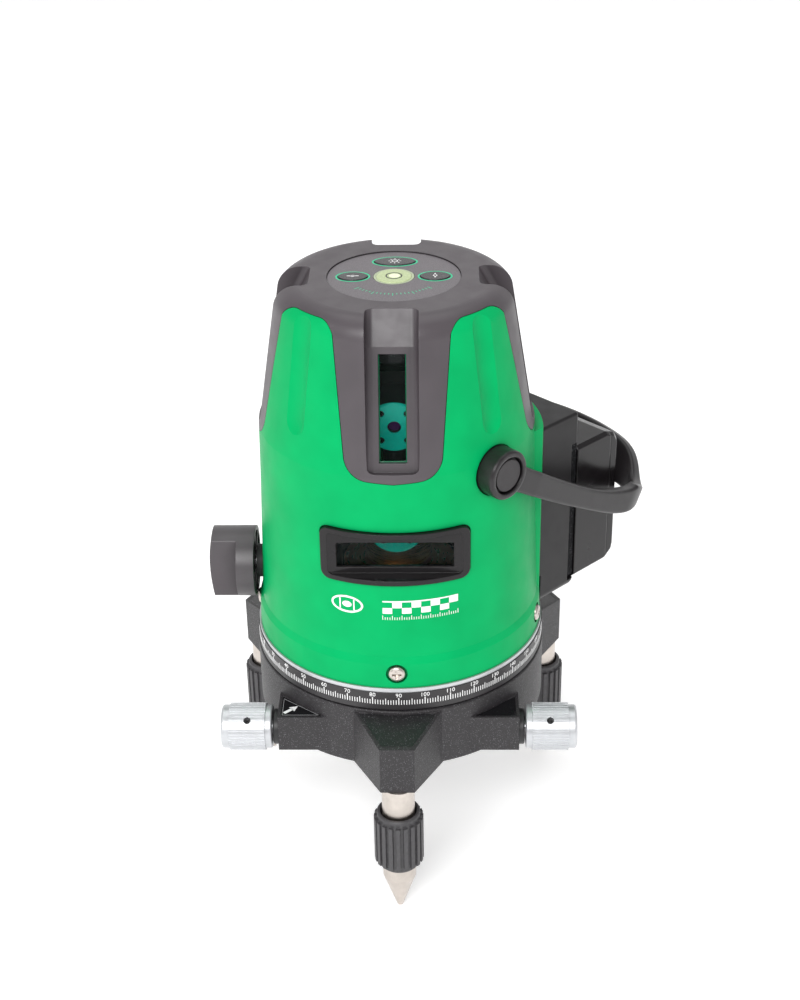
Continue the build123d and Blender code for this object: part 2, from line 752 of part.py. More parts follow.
with BuildPart() as barrel_screws:
    for angle in SHELL_SCREW_ANGLES:
        with Locations(facing(angle, 49.95, SHELL_SCREW_Z)):
            add(pan_head_screw(2.95, 1.9, 1.6, 3.6))
save(barrel_screws.part, "barrel_screws")

# ---- horizontal window --------------------------------------------------------------------

with BuildPart() as window_frame:
    with BuildSketch(Plane.XZ.offset(38)):
        with Locations((0, (HWIN_Z[0] + HWIN_Z[1]) / 2)):
            RectangleRounded(2 * HWIN_HALF, HWIN_Z[1] - HWIN_Z[0], 3.0)
    extrude(amount=16)
    add(tube(49.6, 40.0, 60.0, 100.0), mode=Mode.INTERSECT)
    with BuildSketch(Plane.XZ.offset(HPANEL_Y)):
        with Locations((0, (HWIN_Z[0] + HWIN_Z[1]) / 2)):
            RectangleRounded(2 * HWIN_HALF - 4.6, HWIN_Z[1] - HWIN_Z[0] - 3.6, 1.6)
    extrude(amount=16, mode=Mode.SUBTRACT)
    with BuildSketch(Plane.XZ.offset(30)):
        with Locations((0, (HGLASS_Z[0] + HGLASS_Z[1]) / 2)):
            Rectangle(2 * HGLASS_HALF, HGLASS_Z[1] - HGLASS_Z[0])
    extrude(amount=20, mode=Mode.SUBTRACT)
    # flat seat for the glass behind the panel
    with BuildSketch(Plane.XZ.offset(30)):
        Rectangle(80, 240)
    extrude(amount=HPANEL_Y - 1.6 - 30, mode=Mode.SUBTRACT)
save(window_frame.part, "horizontal_window_frame")

with BuildPart() as hglass:
    with BuildSketch(Plane.XZ.offset(HPANEL_Y - 1.6 - 1.3)):
        with Locations((0, (HGLASS_Z[0] + HGLASS_Z[1]) / 2)):
            Rectangle(2 * HGLASS_HALF + 3.0, HGLASS_Z[1] - HGLASS_Z[0] + 5.0)
    extrude(amount=1.3)
group("window_glasses", glasses + [hglass.part])

# ---- control panel ------------------------------------------------------------------------

PANEL_TOP = TOP_Z - 0.45
BUTTONS = {"left": (-13.7, 0.0, 4.9, 3.6), "right": (13.7, 0.0, 4.9, 3.6), "rear": (0.0, 13.3, 6.9, 3.6)}
with BuildPart() as control_label:
    with BuildSketch(Plane.XY.offset(TOP_Z - 1.3)):
        Circle(LABEL_R)
        Circle(6.95, mode=Mode.SUBTRACT)
        for bx, by, rx, ry in BUTTONS.values():
            with Locations((bx, by)):
                Ellipse(rx + 0.25, ry + 0.25, mode=Mode.SUBTRACT)
    extrude(amount=PANEL_TOP - TOP_Z + 1.3)
save(control_label.part, "control_label")

BOARD_Z = 155.8
for button_name, (bx, by, rx, ry) in BUTTONS.items():
    with BuildPart() as button:
        with BuildSketch(Plane.XY.offset(PANEL_TOP - 2.6)):
            with Locations((bx, by)):
                Ellipse(rx, ry)
        extrude(amount=2.9)
        fillet(button.edges().group_by(Axis.Z)[-1], 0.28)
        with BuildSketch(Plane.XY.offset(PANEL_TOP - 2.6)):
            with Locations((bx, by)):
                Circle(1.5)
        extrude(amount=-(PANEL_TOP - 2.6 - BOARD_Z - 2.0 - 1.0))
    save(button.part, f"button_{button_name}")

with BuildPart() as control_board:
    with BuildSketch(Plane.XY.offset(BOARD_Z)):
        Circle(25.5)
        with PolarLocations(21.5, 4, start_angle=45):
            Circle(1.3, mode=Mode.SUBTRACT)
    extrude(amount=1.2)
    for bx, by, rx, ry in BUTTONS.values():
        with BuildSketch(Plane.XY.offset(BOARD_Z + 1.2)):
            with Locations((bx, by)):
                Circle(2.4)
        extrude(amount=0.8)
save(control_board.part, "control_board")

save(
    turned([(0, 157.4), (6.8, 157.4), (6.8, 163.1), (6.0, 163.1), (6.0, 158.6), (0, 158.6)]),
    "vial_cup",
)
save(turned([(0, 158.6), (6.0, 158.6), (6.0, 162.3), (0, 162.3)]), "vial_fluid")
with BuildPart() as vial_lens:
    with BuildSketch(Plane.XY.offset(162.3)):
        Circle(6.0)
    extrude(amount=1.0)
    fillet(vial_lens.edges().group_by(Axis.Z)[-1], 0.4)
save(vial_lens.part, "vial_lens")

# ---- battery side -------------------------------------------------------------------------

with BuildPart() as housing:
    add(battery_box(20.0, HOUSING_U, BATTERY_HALF, *HOUSING_Z))
    outer_vertical = housing.edges().filter_by(Axis.Z).filter_by(
        lambda e: Vector(*e.center()).dot(battery_u) > 50
    )
    fillet(outer_vertical, 1.2)
    top_and_bottom = housing.edges().filter_by(
        lambda e: Vector(*e.center()).dot(battery_u) > HOUSING_U - 0.1
    )
    fillet(top_and_bottom.group_by(Axis.Z)[0], 3.5)
    fillet(housing.edges().filter_by(
        lambda e: Vector(*e.center()).dot(battery_u) > HOUSING_U - 1.5
    ).group_by(Axis.Z)[-1], 1.0)
    add(battery_box(HOUSING_U_LOW, 60.0, BATTERY_HALF + 1, RAIL_Z[0] - 0.6, RAIL_Z[1] + 0.6),
        mode=Mode.SUBTRACT)
    with BuildSketch(Plane.XY.offset(20)):
        Circle(PAD_R)
    extrude(amount=120, mode=Mode.SUBTRACT)
    with BuildSketch(Plane.XY.offset(20)):
        Circle(51.3)
    extrude(amount=26, mode=Mode.SUBTRACT)
    add(battery_box(20.0, HOUSING_U_LOW - 2.4, BATTERY_HALF - 2.4, HOUSING_Z[0] + 2.4, HOUSING_Z[1] - 2.4),
        mode=Mode.SUBTRACT)
housing_body = max(housing.part.solids(), key=lambda s: s.volume)
save(housing_body, "battery_housing")

RAIL_U = (HOUSING_U_LOW, 55.8)
RAIL_HALF = 34.6
SLOT_V = 20.0


HOOK_Z = (45.0, 70.0)
HOOK_HEIGHT = 8.0
PACK_LIFT = 9.0


def hook_shapes(width, head_u, neck_u, z0, z1):
    """Upright bars at the four hook places, from z0 to z1 above each hook's foot."""
    with BuildPart() as bars:
        for hook_z in HOOK_Z:
            with BuildSketch(Plane.XY.offset(hook_z + z0)):
                with Locations((0, -SLOT_V), (0, SLOT_V)):
                    with Locations(((head_u + neck_u) / 2, 0)):
                        Rectangle(neck_u - head_u, width)
            extrude(amount=z1 - z0)
    return bars.part.rotate(Axis.Z, BATTERY_ANGLE - 90)


# keyhole slots: a hook goes in at the wide top of a slot and locks behind its narrow foot
slot_top = HOOK_HEIGHT + PACK_LIFT + 0.4
rail_plate = battery_box(RAIL_U[0], RAIL_U[1], RAIL_HALF, *RAIL_Z)
rail_plate = rail_plate - hook_shapes(8.0, 52.6, 54.4, -0.4, slot_top)
rail_plate = rail_plate - hook_shapes(3.8, 54.0, 60.0, -0.4, slot_top)
rail_plate = rail_plate - hook_shapes(8.0, 54.0, 60.0, PACK_LIFT - 0.4, slot_top)
save(rail_plate, "battery_rail")

contacts = []
for v in (-6.0, 6.0):
    with BuildPart() as contact:
        with BuildSketch(facing(BATTERY_ANGLE, RAIL_U[1], 60.0)):
            with Locations((v, 0)):
                Rectangle(4.0, 14.0)
        extrude(amount=0.15)
    contacts.append(contact.part)
group("battery_contacts", contacts)

with BuildPart() as pack:
    with BuildSketch(Plane.XZ):
        with BuildLine():
            Polyline(
                (PACK_U[0], PACK_Z[0]), (PACK_U[1] - 5.0, PACK_Z[0]), (PACK_U[1] - 0.8, 39.4),
                (PACK_U[1], 42.4), (PACK_U[1], 86.0), (PACK_U[1] - 1.8, 89.4), (PACK_U[1] - 6.5, PACK_Z[1]),
                (PACK_U[0], PACK_Z[1]),
                close=True,
            )
        outline = make_face()
        fillet([v for v in outline.vertices() if v.X > 65], 2.2)
    extrude(amount=BATTERY_HALF - 0.8, both=True)
    far_edges = pack.edges().filter_by(
        lambda e: abs(abs(e.center().Y) - BATTERY_HALF + 0.8) < 0.05 and e.center().X > 60
    )
    chamfer(far_edges, 1.2)
pack_solid = pack.part
with BuildPart() as pack_cavity:
    with BuildSketch(Plane.YZ.offset(PACK_U[0] + 2.0)):
        with Locations((0, 63.5)):
            Rectangle(2 * BATTERY_HALF - 6.4, 49.0)
    extrude(amount=15.8)
with BuildPart() as cover_zone:
    with BuildSketch(Plane.YZ.offset(PACK_U[1] - 4.6)):
        with Locations((0, 63.8)):
            Rectangle(90, 80)
    extrude(amount=20)
to_battery = BATTERY_ANGLE - 90
pack_case = (pack_solid - pack_cavity.part - cover_zone.part).rotate(Axis.Z, to_battery)
pack_case = pack_case + hook_shapes(7.2, 53.0, 54.0, 0, HOOK_HEIGHT)
pack_case = pack_case + hook_shapes(3.0, 53.9, PACK_U[0] + 0.5, 0, HOOK_HEIGHT)
save(pack_case, "battery_pack_case")
pack_cover = pack_solid & cover_zone.part
save((pack_cover - pack_cavity.part).rotate(Axis.Z, to_battery), "battery_pack_cover")

with BuildPart() as cells:
    with BuildSketch(Plane.XY.offset(40.0)):
        with Locations(*[(PACK_U[0] + 9.4, v) for v in (-22.5, -7.5, 7.5, 22.5)]):
            Circle(7.1)
    extrude(amount=46.0)
    with BuildSketch(Plane.XY.offset(86.0)):
        with Locations(*[(PACK_U[0] + 9.4, v) for v in (-22.5, -7.5, 7.5, 22.5)]):
            Circle(2.7)
    extrude(amount=1.2)
save(cells.part.rotate(Axis.Z, to_battery), "battery_cells")

# ---- handle -------------------------------------------------------------------------------

tilt = math.radians(HANDLE_TILT)
reach_dir = battery_u * math.cos(tilt) - UP * math.sin(tilt)
rise_dir = battery_u * math.sin(tilt) + UP * math.cos(tilt)
handle_plane = Plane(origin=(0, 0, PIVOT_Z), x_dir=reach_dir, z_dir=rise_dir)
BAIL_THICK = 4.8
ARM_RISE = 4.4
GRIP_RISE = 24.3

with BuildPart() as bail:
    with BuildSketch(Plane.XY.offset(-6.0)):
        with BuildLine():
            bail_line = FilletPolyline(
                (0, 50.6), (18.0, 50.4), (HANDLE_REACH, HANDLE_CORNER_V),
                (HANDLE_REACH, -HANDLE_CORNER_V), (18.0, -50.4), (0, -50.6), radius=HANDLE_CORNER_R,
            )
            offset(bail_line, amount=BAIL_THICK / 2, side=Side.BOTH)
        make_face()
    extrude(amount=6.0 + GRIP_RISE + 1.0)
    # side outline: slim arms that sweep up into the palm grip
    with BuildSketch(Plane.XZ.offset(-70)):
        with BuildLine():
            low = Spline((-10, -4.6), (30, -5.2), (60, -4.8), (78, -2.9), (89, 1.6), (99, 10.0))
            high = Spline(
                (-10, ARM_RISE), (20, 3.5), (48, 2.6), (72, 5.0), (81.5, 9.0), (86, 16.0), (89, 26.0)
            )
            Polyline(low @ 1, (99, 26.0), high @ 1)
            Line(high @ 0, low @ 0)
        make_face()
    extrude(amount=140, mode=Mode.INTERSECT)
    # front outline: the grip's top edge falls in an arch toward both corners
    with BuildSketch(Plane.YZ.offset(-20)):
        with BuildLine():
            arch = Spline(
                (-44.5, 8.2), (-40.5, 10.2), (-36.0, 15.0), (-30.0, 19.8), (-20.0, 22.8), (0, GRIP_RISE),
                (20.0, 22.8), (30.0, 19.8), (36.0, 15.0), (40.5, 10.2), (44.5, 8.2),
            )
            Polyline(arch @ 1, (70, 8.2), (70, -8.0), (-70, -8.0), (-70, 8.2), arch @ 0)
        make_face()
    extrude(amount=140, mode=Mode.INTERSECT)
    round_edges = bail.edges().filter_by(lambda e: e.length > 12.0)
    fillet(round_edges, 1.0)
bail_body = bail.part
local_bail = max(bail_body.solids(), key=lambda s: s.volume)

with BuildPart() as hub:
    with BuildSketch(Plane.XZ.offset(-HUB_V[1])):
        Circle(HUB_R)
    extrude(amount=HUB_V[1] - HUB_V[0])
    fillet(hub.edges(), 0.9)
    with BuildSketch(Plane.XZ.offset(-HUB_V[1])):
        Circle(6.6)
    extrude(amount=2.6, mode=Mode.SUBTRACT)
    with BuildSketch(Plane.XZ.offset(-HUB_V[1])):
        Circle(3.0 + RUNNING_GAP)
    extrude(amount=10, mode=Mode.SUBTRACT)
hub_far = hub.part
with BuildPart() as hub_clear:
    for side in (1, -1):
        with BuildSketch(Plane.XZ.offset(-side * 60)):
            Circle(HUB_R - 1.0)
        extrude(amount=side * 20)
handle_local = (local_bail - hub_clear.part) + hub_far + hub_far.mirror(Plane.XZ)
save(handle_plane.from_local_coords(handle_local), "handle_bail")

caps = []
for angle in (45, 225):
    with BuildPart() as cap:
        with BuildSketch(facing(angle, HUB_V[1] - 2.6 + 1.4, PIVOT_Z)):
            Circle(5.7)
        extrude(amount=0.8)
        fillet(cap.edges().sort_by(Axis((0, 0, 0), facing(angle).z_dir))[-1], 0.3)
    caps.append(cap.part)
pins = []
for angle in (45, 225):
    with BuildPart() as pin:
        with BuildSketch(facing(angle, 40.0, PIVOT_Z)):
            Circle(3.0)
        extrude(amount=HUB_V[1] - 2.6 + 0.1 - 40.0)
        with BuildSketch(facing(angle, HUB_V[1] - 2.6 + 0.1, PIVOT_Z)):
            Circle(4.8)
        extrude(amount=1.0)
    pins.append(pin.part)
group("handle_pivot_pins", pins)
group("handle_hub_caps", caps)

# ---- lock knob ----------------------------------------------------------------------------

lock_plane = facing(270, 0.0, LOCK_Z)
with BuildPart() as lock_knob:
    with BuildSketch(Plane.XY.offset(51.8)):
        Circle(LOCK_R)
    extrude(amount=6.4)
    with BuildSketch(Plane.XY.offset(51.8)):
        Circle(LOCK_R - 1.6)
    extrude(amount=4.4, mode=Mode.SUBTRACT)
    with BuildSketch(Plane.XY.offset(51.8)):
        with PolarLocations(7.2, 8):
            Rectangle(8.6, 1.0)
    extrude(amount=4.6)
    with BuildSketch(Plane.XY.offset(51.8)):
        Circle(4.6)
    extrude(amount=4.6)
    # pinch grip: a thick bar with hollowed flanks and a crowned outer face
    with BuildSketch(Plane.XY.offset(58.2)) as grip_outline:
        with BuildLine():
            Polyline((-6.6, -14.0), (6.6, -14.0), (3.9, 0), (6.6, 14.0), (-6.6, 14.0), (-3.9, 0), close=True)
        make_face()
        fillet([v for v in grip_outline.vertices() if abs(v.Y) < 1], 40.0)
        Circle(LOCK_R, mode=Mode.INTERSECT)
        fillet(grip_outline.vertices().filter_by(lambda v: abs(v.Y) > 9), 0.9)
    extrude(amount=10.2)
    with BuildSketch(Plane.XY.offset(51.8)):
        Circle(SHAFT_R)
    extrude(amount=11.0, mode=Mode.SUBTRACT)
with BuildPart() as knob_crown:
    with Locations((0, 0, 68.6 - 60.0)):
        Sphere(60.0)
knob_solid = lock_knob.part & knob_crown.part
save(lock_plane.from_local_coords(knob_solid), "lock_knob")

with BuildPart() as lock_shaft:
    with BuildSketch(Plane.XY.offset(37.0)):
        Circle(SHAFT_R)
    extrude(amount=62.8 - 37.0)
    # eccentric cam that lifts the pendulum's brake pad
    with BuildSketch(Plane.XY.offset(37.0)):
        with Locations((0, -1.6)):
            Circle(6.0)
    extrude(amount=3.0)
save(lock_plane.from_local_coords(lock_shaft.part), "lock_shaft")

with BuildPart() as lock_bush:
    with BuildSketch(Plane.XY.offset(44.0)):
        Circle(6.0)
        Circle(SHAFT_R + RUNNING_GAP, mode=Mode.SUBTRACT)
    extrude(amount=7.4)
    with BuildSketch(Plane.XY.offset(44.0)):
        Circle(8.0)
        Circle(SHAFT_R + RUNNING_GAP, mode=Mode.SUBTRACT)
    extrude(amount=2.0)
save(lock_plane.from_local_coords(lock_bush.part), "lock_bush")

# ---- inner chassis ------------------------------------------------------------------------

COLUMN_R = 35.2
BRIDGE_Z = (141.0, 145.0)
with BuildPart() as chassis:
    with BuildSketch(Plane.XY.offset(SHELL_LOW)):
        Circle(43.0)
        Circle(26.0, mode=Mode.SUBTRACT)
    extrude(amount=3.3)
    with BuildSketch(Plane.XY.offset(SHELL_LOW)):
        with PolarLocations(COLUMN_R, 4, start_angle=45):
            Circle(2.6)
    extrude(amount=BRIDGE_Z[1] - SHELL_LOW)
    with BuildSketch(Plane.XY.offset(BRIDGE_Z[0])):
        with Locations(Rotation(0, 0, 45), Rotation(0, 0, 135)):
            Rectangle(2 * COLUMN_R + 3, 7.0)
        Circle(21.0)
        Circle(17.2, mode=Mode.SUBTRACT)
    extrude(amount=BRIDGE_Z[1] - BRIDGE_Z[0])
    with BuildSketch(Plane.YZ.offset(-22)):
        with Locations((0, GIMBAL_Z)):
            Circle(1.25 + RUNNING_GAP)
    extrude(amount=44, mode=Mode.SUBTRACT)
with BuildPart() as board_posts:
    with BuildSketch(Plane.XY.offset(BRIDGE_Z[1])):
        with PolarLocations(21.5, 4, start_angle=45):
            Circle(2.2)
    extrude(amount=BOARD_Z - BRIDGE_Z[1])
    with BuildSketch(Plane.XY.offset(BRIDGE_Z[1])):
        with PolarLocations(21.5, 4, start_angle=45):
            Circle(1.3)
    extrude(amount=BOARD_Z - BRIDGE_Z[1] + 1.2)
save(chassis.part + board_posts.part, "chassis")

# ---- pendulum -----------------------------------------------------------------------------

with BuildPart() as gimbal_ring:
    with BuildSketch(Plane.XY.offset(GIMBAL_Z - 2)):
        Circle(15.6)
        Circle(11.4, mode=Mode.SUBTRACT)
    extrude(amount=4)
    with BuildSketch(Plane.YZ.offset(12.0)):
        with Locations((0, GIMBAL_Z)):
            Circle(1.25)
    extrude(amount=7.5)
    with BuildSketch(Plane.YZ.offset(-12.0)):
        with Locations((0, GIMBAL_Z)):
            Circle(1.25)
    extrude(amount=-7.5)
    with BuildSketch(Plane.XZ.offset(-16)):
        with Locations((0, GIMBAL_Z)):
            Circle(1.25 + RUNNING_GAP)
    extrude(amount=32, mode=Mode.SUBTRACT)
save(gimbal_ring.part, "gimbal_ring")

with BuildPart() as pendulum_frame:
    with BuildSketch(Plane.XY.offset(132.0)):
        Circle(8.4)
    extrude(amount=GIMBAL_Z + 3 - 132.0)
    with BuildSketch(Plane.XY.offset(108.0)):
        RectangleRounded(24.0, 24.0, 4.0)
    extrude(amount=26.0)
    with BuildSketch(Plane.XY.offset(56.0)):
        Circle(5.0)
    extrude(amount=54.0)
    with BuildSketch(Plane.XZ.offset(-8)):
        with Locations((0, GIMBAL_Z)):
            Circle(1.25)
    extrude(amount=-6.5)
    with BuildSketch(Plane.XZ.offset(8)):
        with Locations((0, GIMBAL_Z)):
            Circle(1.25)
    extrude(amount=6.5)
    with BuildSketch(Plane.XZ.offset(2)):
        with Locations((0, HMODULE_Z)):
            RectangleRounded(24.0, 20.0, 3.0)
    extrude(amount=8.0)
save(pendulum_frame.part, "pendulum_frame")

MODULE_R = 8.85
LENS_R = 2.3


def laser_module(radius, r0, r1):
    """Turned laser barrel with a stepped nose, four screw holes and a lens bore, along +Z."""
    with BuildPart() as module:
        with BuildSketch(Plane.XY.offset(r0)):
            Circle(radius)
        extrude(amount=r1 - r0)
        chamfer(module.edges().group_by(Axis.Z)[-1], 0.4)
        with BuildSketch(Plane.XY.offset(r1)):
            Circle(LENS_R)
        extrude(amount=-4.0, mode=Mode.SUBTRACT)
        with BuildSketch(Plane.XY.offset(r1)):
            with GridLocations(9.0, 9.8, 2, 2):
                Circle(1.35)
        extrude(amount=-2.0, mode=Mode.SUBTRACT)
    return module.part


def module_screws(r1):
    """Four socket screws sunk in a module's nose, facing +Z."""
    with BuildPart() as screws:
        with BuildSketch(Plane.XY.offset(r1 - 2.0)):
            with GridLocations(9.0, 9.8, 2, 2):
                Circle(1.2)
                RegularPolygon(0.65, 6, mode=Mode.SUBTRACT)
        extrude(amount=1.5)
    return screws.part.solids()


def module_lens(r1):
    """Small lens in the bore, facing +Z."""
    with BuildPart() as lens:
        with BuildSketch(Plane.XY.offset(r1 - 4.0)):
            Circle(LENS_R)
        extrude(amount=2.6)
        fillet(lens.edges().group_by(Axis.Z)[-1], 0.8)
    return lens.part


vertical_module = laser_module(MODULE_R, 12.0, 28.0)
vertical_screws = module_screws(28.0)
vertical_lens = module_lens(28.0)
module_planes = [facing(angle, 0, MODULE_Z) for angle in FRONT_ANGLES]
level_plane = facing(0, 0, HMODULE_Z)
group("vertical_laser_modules", [plane.from_local_coords(vertical_module) for plane in module_planes])
save(level_plane.from_local_coords(laser_module(9.5, 10.0, 28.0)), "level_laser_module")
nose_planes = module_planes + [level_plane]
group("laser_lenses", [plane.from_local_coords(vertical_lens) for plane in nose_planes])
group(
    "laser_module_screws",
    [plane.from_local_coords(screw) for plane in nose_planes for screw in vertical_screws],
)

save(turned([(0, 52.0), (20.0, 52.0), (20.0, 54.5), (9.0, 56.0), (0, 56.0)]), "damper_disc")
save(tube(12.0, 5.0, 57.0, 66.0), "pendulum_weight")
MAGNET_Z = (44.5, 49.6)
magnets = []
for k in range(4):
    with BuildPart() as magnet:
        with BuildSketch(Plane.XY.offset(MAGNET_Z[0])):
            with Locations((13.0, 0)):
                Circle(4.0)
        extrude(amount=MAGNET_Z[1] - MAGNET_Z[0])
    magnets.append(magnet.part.rotate(Axis.Z, 45 + 90 * k))
group("damper_magnets", magnets)
save(
    turned([
        (19.0, 37.4), (27.0, 37.4), (27.0, 36.0), (30.0, 36.0), (30.0, 38.4), (19.0, 38.4),
    ]) + tube(19.0, 8.0, 42.5, 44.5) + tube(19.0, 17.4, 37.4, 44.5),
    "magnet_plate",
)
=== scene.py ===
"""Looks of a self-levelling cross-line laser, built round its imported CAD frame.

Metres, in the CAD's frame: +Z up, -Y front, origin in the mouth of the tripod thread.
"""
import bmesh
import bpy
import json
import math
from mathutils import Matrix, Vector


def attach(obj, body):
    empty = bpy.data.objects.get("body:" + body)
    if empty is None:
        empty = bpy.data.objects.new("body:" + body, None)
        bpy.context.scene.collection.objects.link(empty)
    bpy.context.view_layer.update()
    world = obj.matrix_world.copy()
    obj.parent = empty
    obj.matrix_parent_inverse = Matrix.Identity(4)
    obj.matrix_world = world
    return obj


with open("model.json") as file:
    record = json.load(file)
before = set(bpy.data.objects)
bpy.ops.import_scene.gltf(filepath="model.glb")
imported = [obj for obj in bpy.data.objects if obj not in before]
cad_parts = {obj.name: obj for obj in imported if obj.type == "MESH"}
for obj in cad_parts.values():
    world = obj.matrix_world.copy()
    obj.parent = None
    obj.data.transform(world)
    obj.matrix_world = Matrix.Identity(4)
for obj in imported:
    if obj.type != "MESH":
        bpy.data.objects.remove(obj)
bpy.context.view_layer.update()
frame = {"nodes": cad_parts, "record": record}
MM = 0.001
SCENE = bpy.context.scene


# ---- node-tree shorthand ----------------------------------------------------------------

class Paint:
    """One material being built: adds shader nodes and links them."""

    def __init__(self, name, colour, roughness, metallic=0.0, **constants):
        self.material = bpy.data.materials.new(name)
        self.material.use_nodes = True
        self.tree = self.material.node_tree
        self.shader = self.tree.nodes["Principled BSDF"]
        self.set(**{"Base Color": (*colour, 1.0), "Roughness": roughness, "Metallic": metallic})
        self.set(**constants)
        self.place = self.add("ShaderNodeTexCoord").outputs["Object"]
        self.normal = None

    def set(self, **values):
        for socket, value in values.items():
            self.shader.inputs[socket].default_value = value

    def add(self, kind, links=None, values=None, **settings):
        node = self.tree.nodes.new(kind)
        for key, value in settings.items():
            setattr(node, key, value)
        for socket, value in (values or {}).items():
            node.inputs[socket].default_value = value
        for socket, source in (links or {}).items():
            self.tree.links.new(source, node.inputs[socket])
        return node

    def link(self, source, socket):
        self.tree.links.new(source, self.shader.inputs[socket])

    def noise(self, size_mm, detail=3.0, roughness=0.55, place=None):
        """Noise between 0 and 1 with features of about size_mm."""
        node = self.add(
            "ShaderNodeTexNoise", {"Vector": place or self.place},
            {"Scale": 1.0 / (size_mm * MM), "Detail": detail, "Roughness": roughness},
        )
        return node.outputs["Fac"]

    def flakes(self, size_mm):
        """A random value between 0 and 1 for each flake of about size_mm."""
        cells = self.add("ShaderNodeTexVoronoi", {"Vector": self.place}, {"Scale": 1.0 / (size_mm * MM)})
        return self.add("ShaderNodeSeparateColor", {"Color": cells.outputs["Color"]}).outputs["Red"]

    def axes(self):
        """The place on the object, as outputs X, Y and Z in metres."""
        return self.add("ShaderNodeSeparateXYZ", {"Vector": self.place}).outputs

    def spread(self, source, low, high, to_low=0.0, to_high=1.0):
        """Maps a source from low..high to to_low..to_high, clamped."""
        node = self.add(
            "ShaderNodeMapRange", {"Value": source},
            {"From Min": low, "From Max": high, "To Min": to_low, "To Max": to_high},
        )
        return node.outputs["Result"]

    def mix(self, factor, first, second):
        """Colour mix; first and second are colours or sockets."""
        node = self.add("ShaderNodeMix", {"Factor": factor}, data_type="RGBA")
        for index, side in ((6, first), (7, second)):
            if isinstance(side, tuple):
                node.inputs[index].default_value = (*side, 1.0)
            else:
                self.tree.links.new(side, node.inputs[index])
        return node.outputs[2]

    def math(self, operation, first, second=0.0):
        """One arithmetic step; first and second are numbers or sockets."""
        node = self.add("ShaderNodeMath", operation=operation)
        for index, side in enumerate((first, second)):
            if isinstance(side, (int, float)):
                node.inputs[index].default_value = side
            else:
                self.tree.links.new(side, node.inputs[index])
        return node.outputs[0]

    def bevel(self, radius_mm):
        """Rounds the shading of sharp edges."""
        node = self.add("ShaderNodeBevel", values={"Radius": radius_mm * MM}, samples=6)
        self.normal = node.outputs["Normal"]

    def bump(self, height, depth_mm, strength=1.0):
        """Adds relief of a real depth on top of what is there."""
        links = {"Height": height}
        if self.normal is not None:
            links["Normal"] = self.normal
        node = self.add("ShaderNodeBump", links, {"Strength": strength, "Distance": depth_mm * MM})
        self.normal = node.outputs["Normal"]

    def edges(self, radius_mm):
        """0 on flat stretches, rising to 1 on sharp edges."""
        bevel = self.add("ShaderNodeBevel", values={"Radius": radius_mm * MM}, samples=4)
        flat = self.add("ShaderNodeNewGeometry").outputs["Normal"]
        dot = self.add("ShaderNodeVectorMath", {0: bevel.outputs[0], 1: flat}, operation="DOT_PRODUCT")
        return self.spread(dot.outputs["Value"], 0.995, 0.86)

    def open_air(self, reach_mm):
        """1 on open stretches, falling to 0 in grooves and gaps; the materials use it to paint shade
        there.
        """
        node = self.add("ShaderNodeAmbientOcclusion", values={"Distance": reach_mm * MM}, samples=8)
        return self.spread(node.outputs["AO"], 0.3, 0.92)

    def done(self):
        if self.normal is not None:
            self.link(self.normal, "Normal")
        return self.material


def shade(colour, factor):
    """A colour made lighter or darker."""
    return tuple(min(1.0, channel * factor) for channel in colour)


# ---- materials --------------------------------------------------------------------------

def moulded(name, colour, roughness, grain_mm=0.25, grain_depth_mm=0.012, edge_mm=0.25, edge_wear_and_highlight=0.25,
            **constants):
    """Injection-moulded plastic: spark-eroded grain, faint flow mottling, slightly polished edges painted
    lighter (part wear, part painted highlight), and painted shade in grooves and gaps.
    """
    paint = Paint(name, colour, roughness, **constants)
    mottling = paint.noise(14.0, 2.0)
    tinted = paint.mix(paint.spread(mottling, 0.3, 0.7), shade(colour, 0.93), shade(colour, 1.06))
    # Edges painted lighter in colour: partly rubbed wear, partly a painted highlight.
    edge_wear_and_highlight_mask = paint.edges(edge_mm)
    smudges = paint.noise(6.0, 4.0)
    worn_and_highlit = paint.mix(paint.math("MULTIPLY", edge_wear_and_highlight_mask, edge_wear_and_highlight), tinted, shade(colour, 1.5))
    # Painted shade: grooves and gaps darkened towards a third of the colour.
    paint.link(paint.mix(paint.open_air(2.5), shade(colour, 0.35), worn_and_highlit), "Base Color")
    handled = paint.spread(smudges, 0.35, 0.75, roughness - 0.05, roughness + 0.05)
    paint.link(paint.math("SUBTRACT", handled, paint.math("MULTIPLY", edge_wear_and_highlight_mask, 0.08)), "Roughness")
    paint.bevel(edge_mm)
    paint.bump(paint.noise(grain_mm, 2.0), grain_depth_mm)
    return paint.done()


# Bounds of the battery housing's zone, which soft_touch darkens as painted shade.
HOUSING_TOP_Z = 108.4
HOUSING_X_PLUS_Y = 30.0


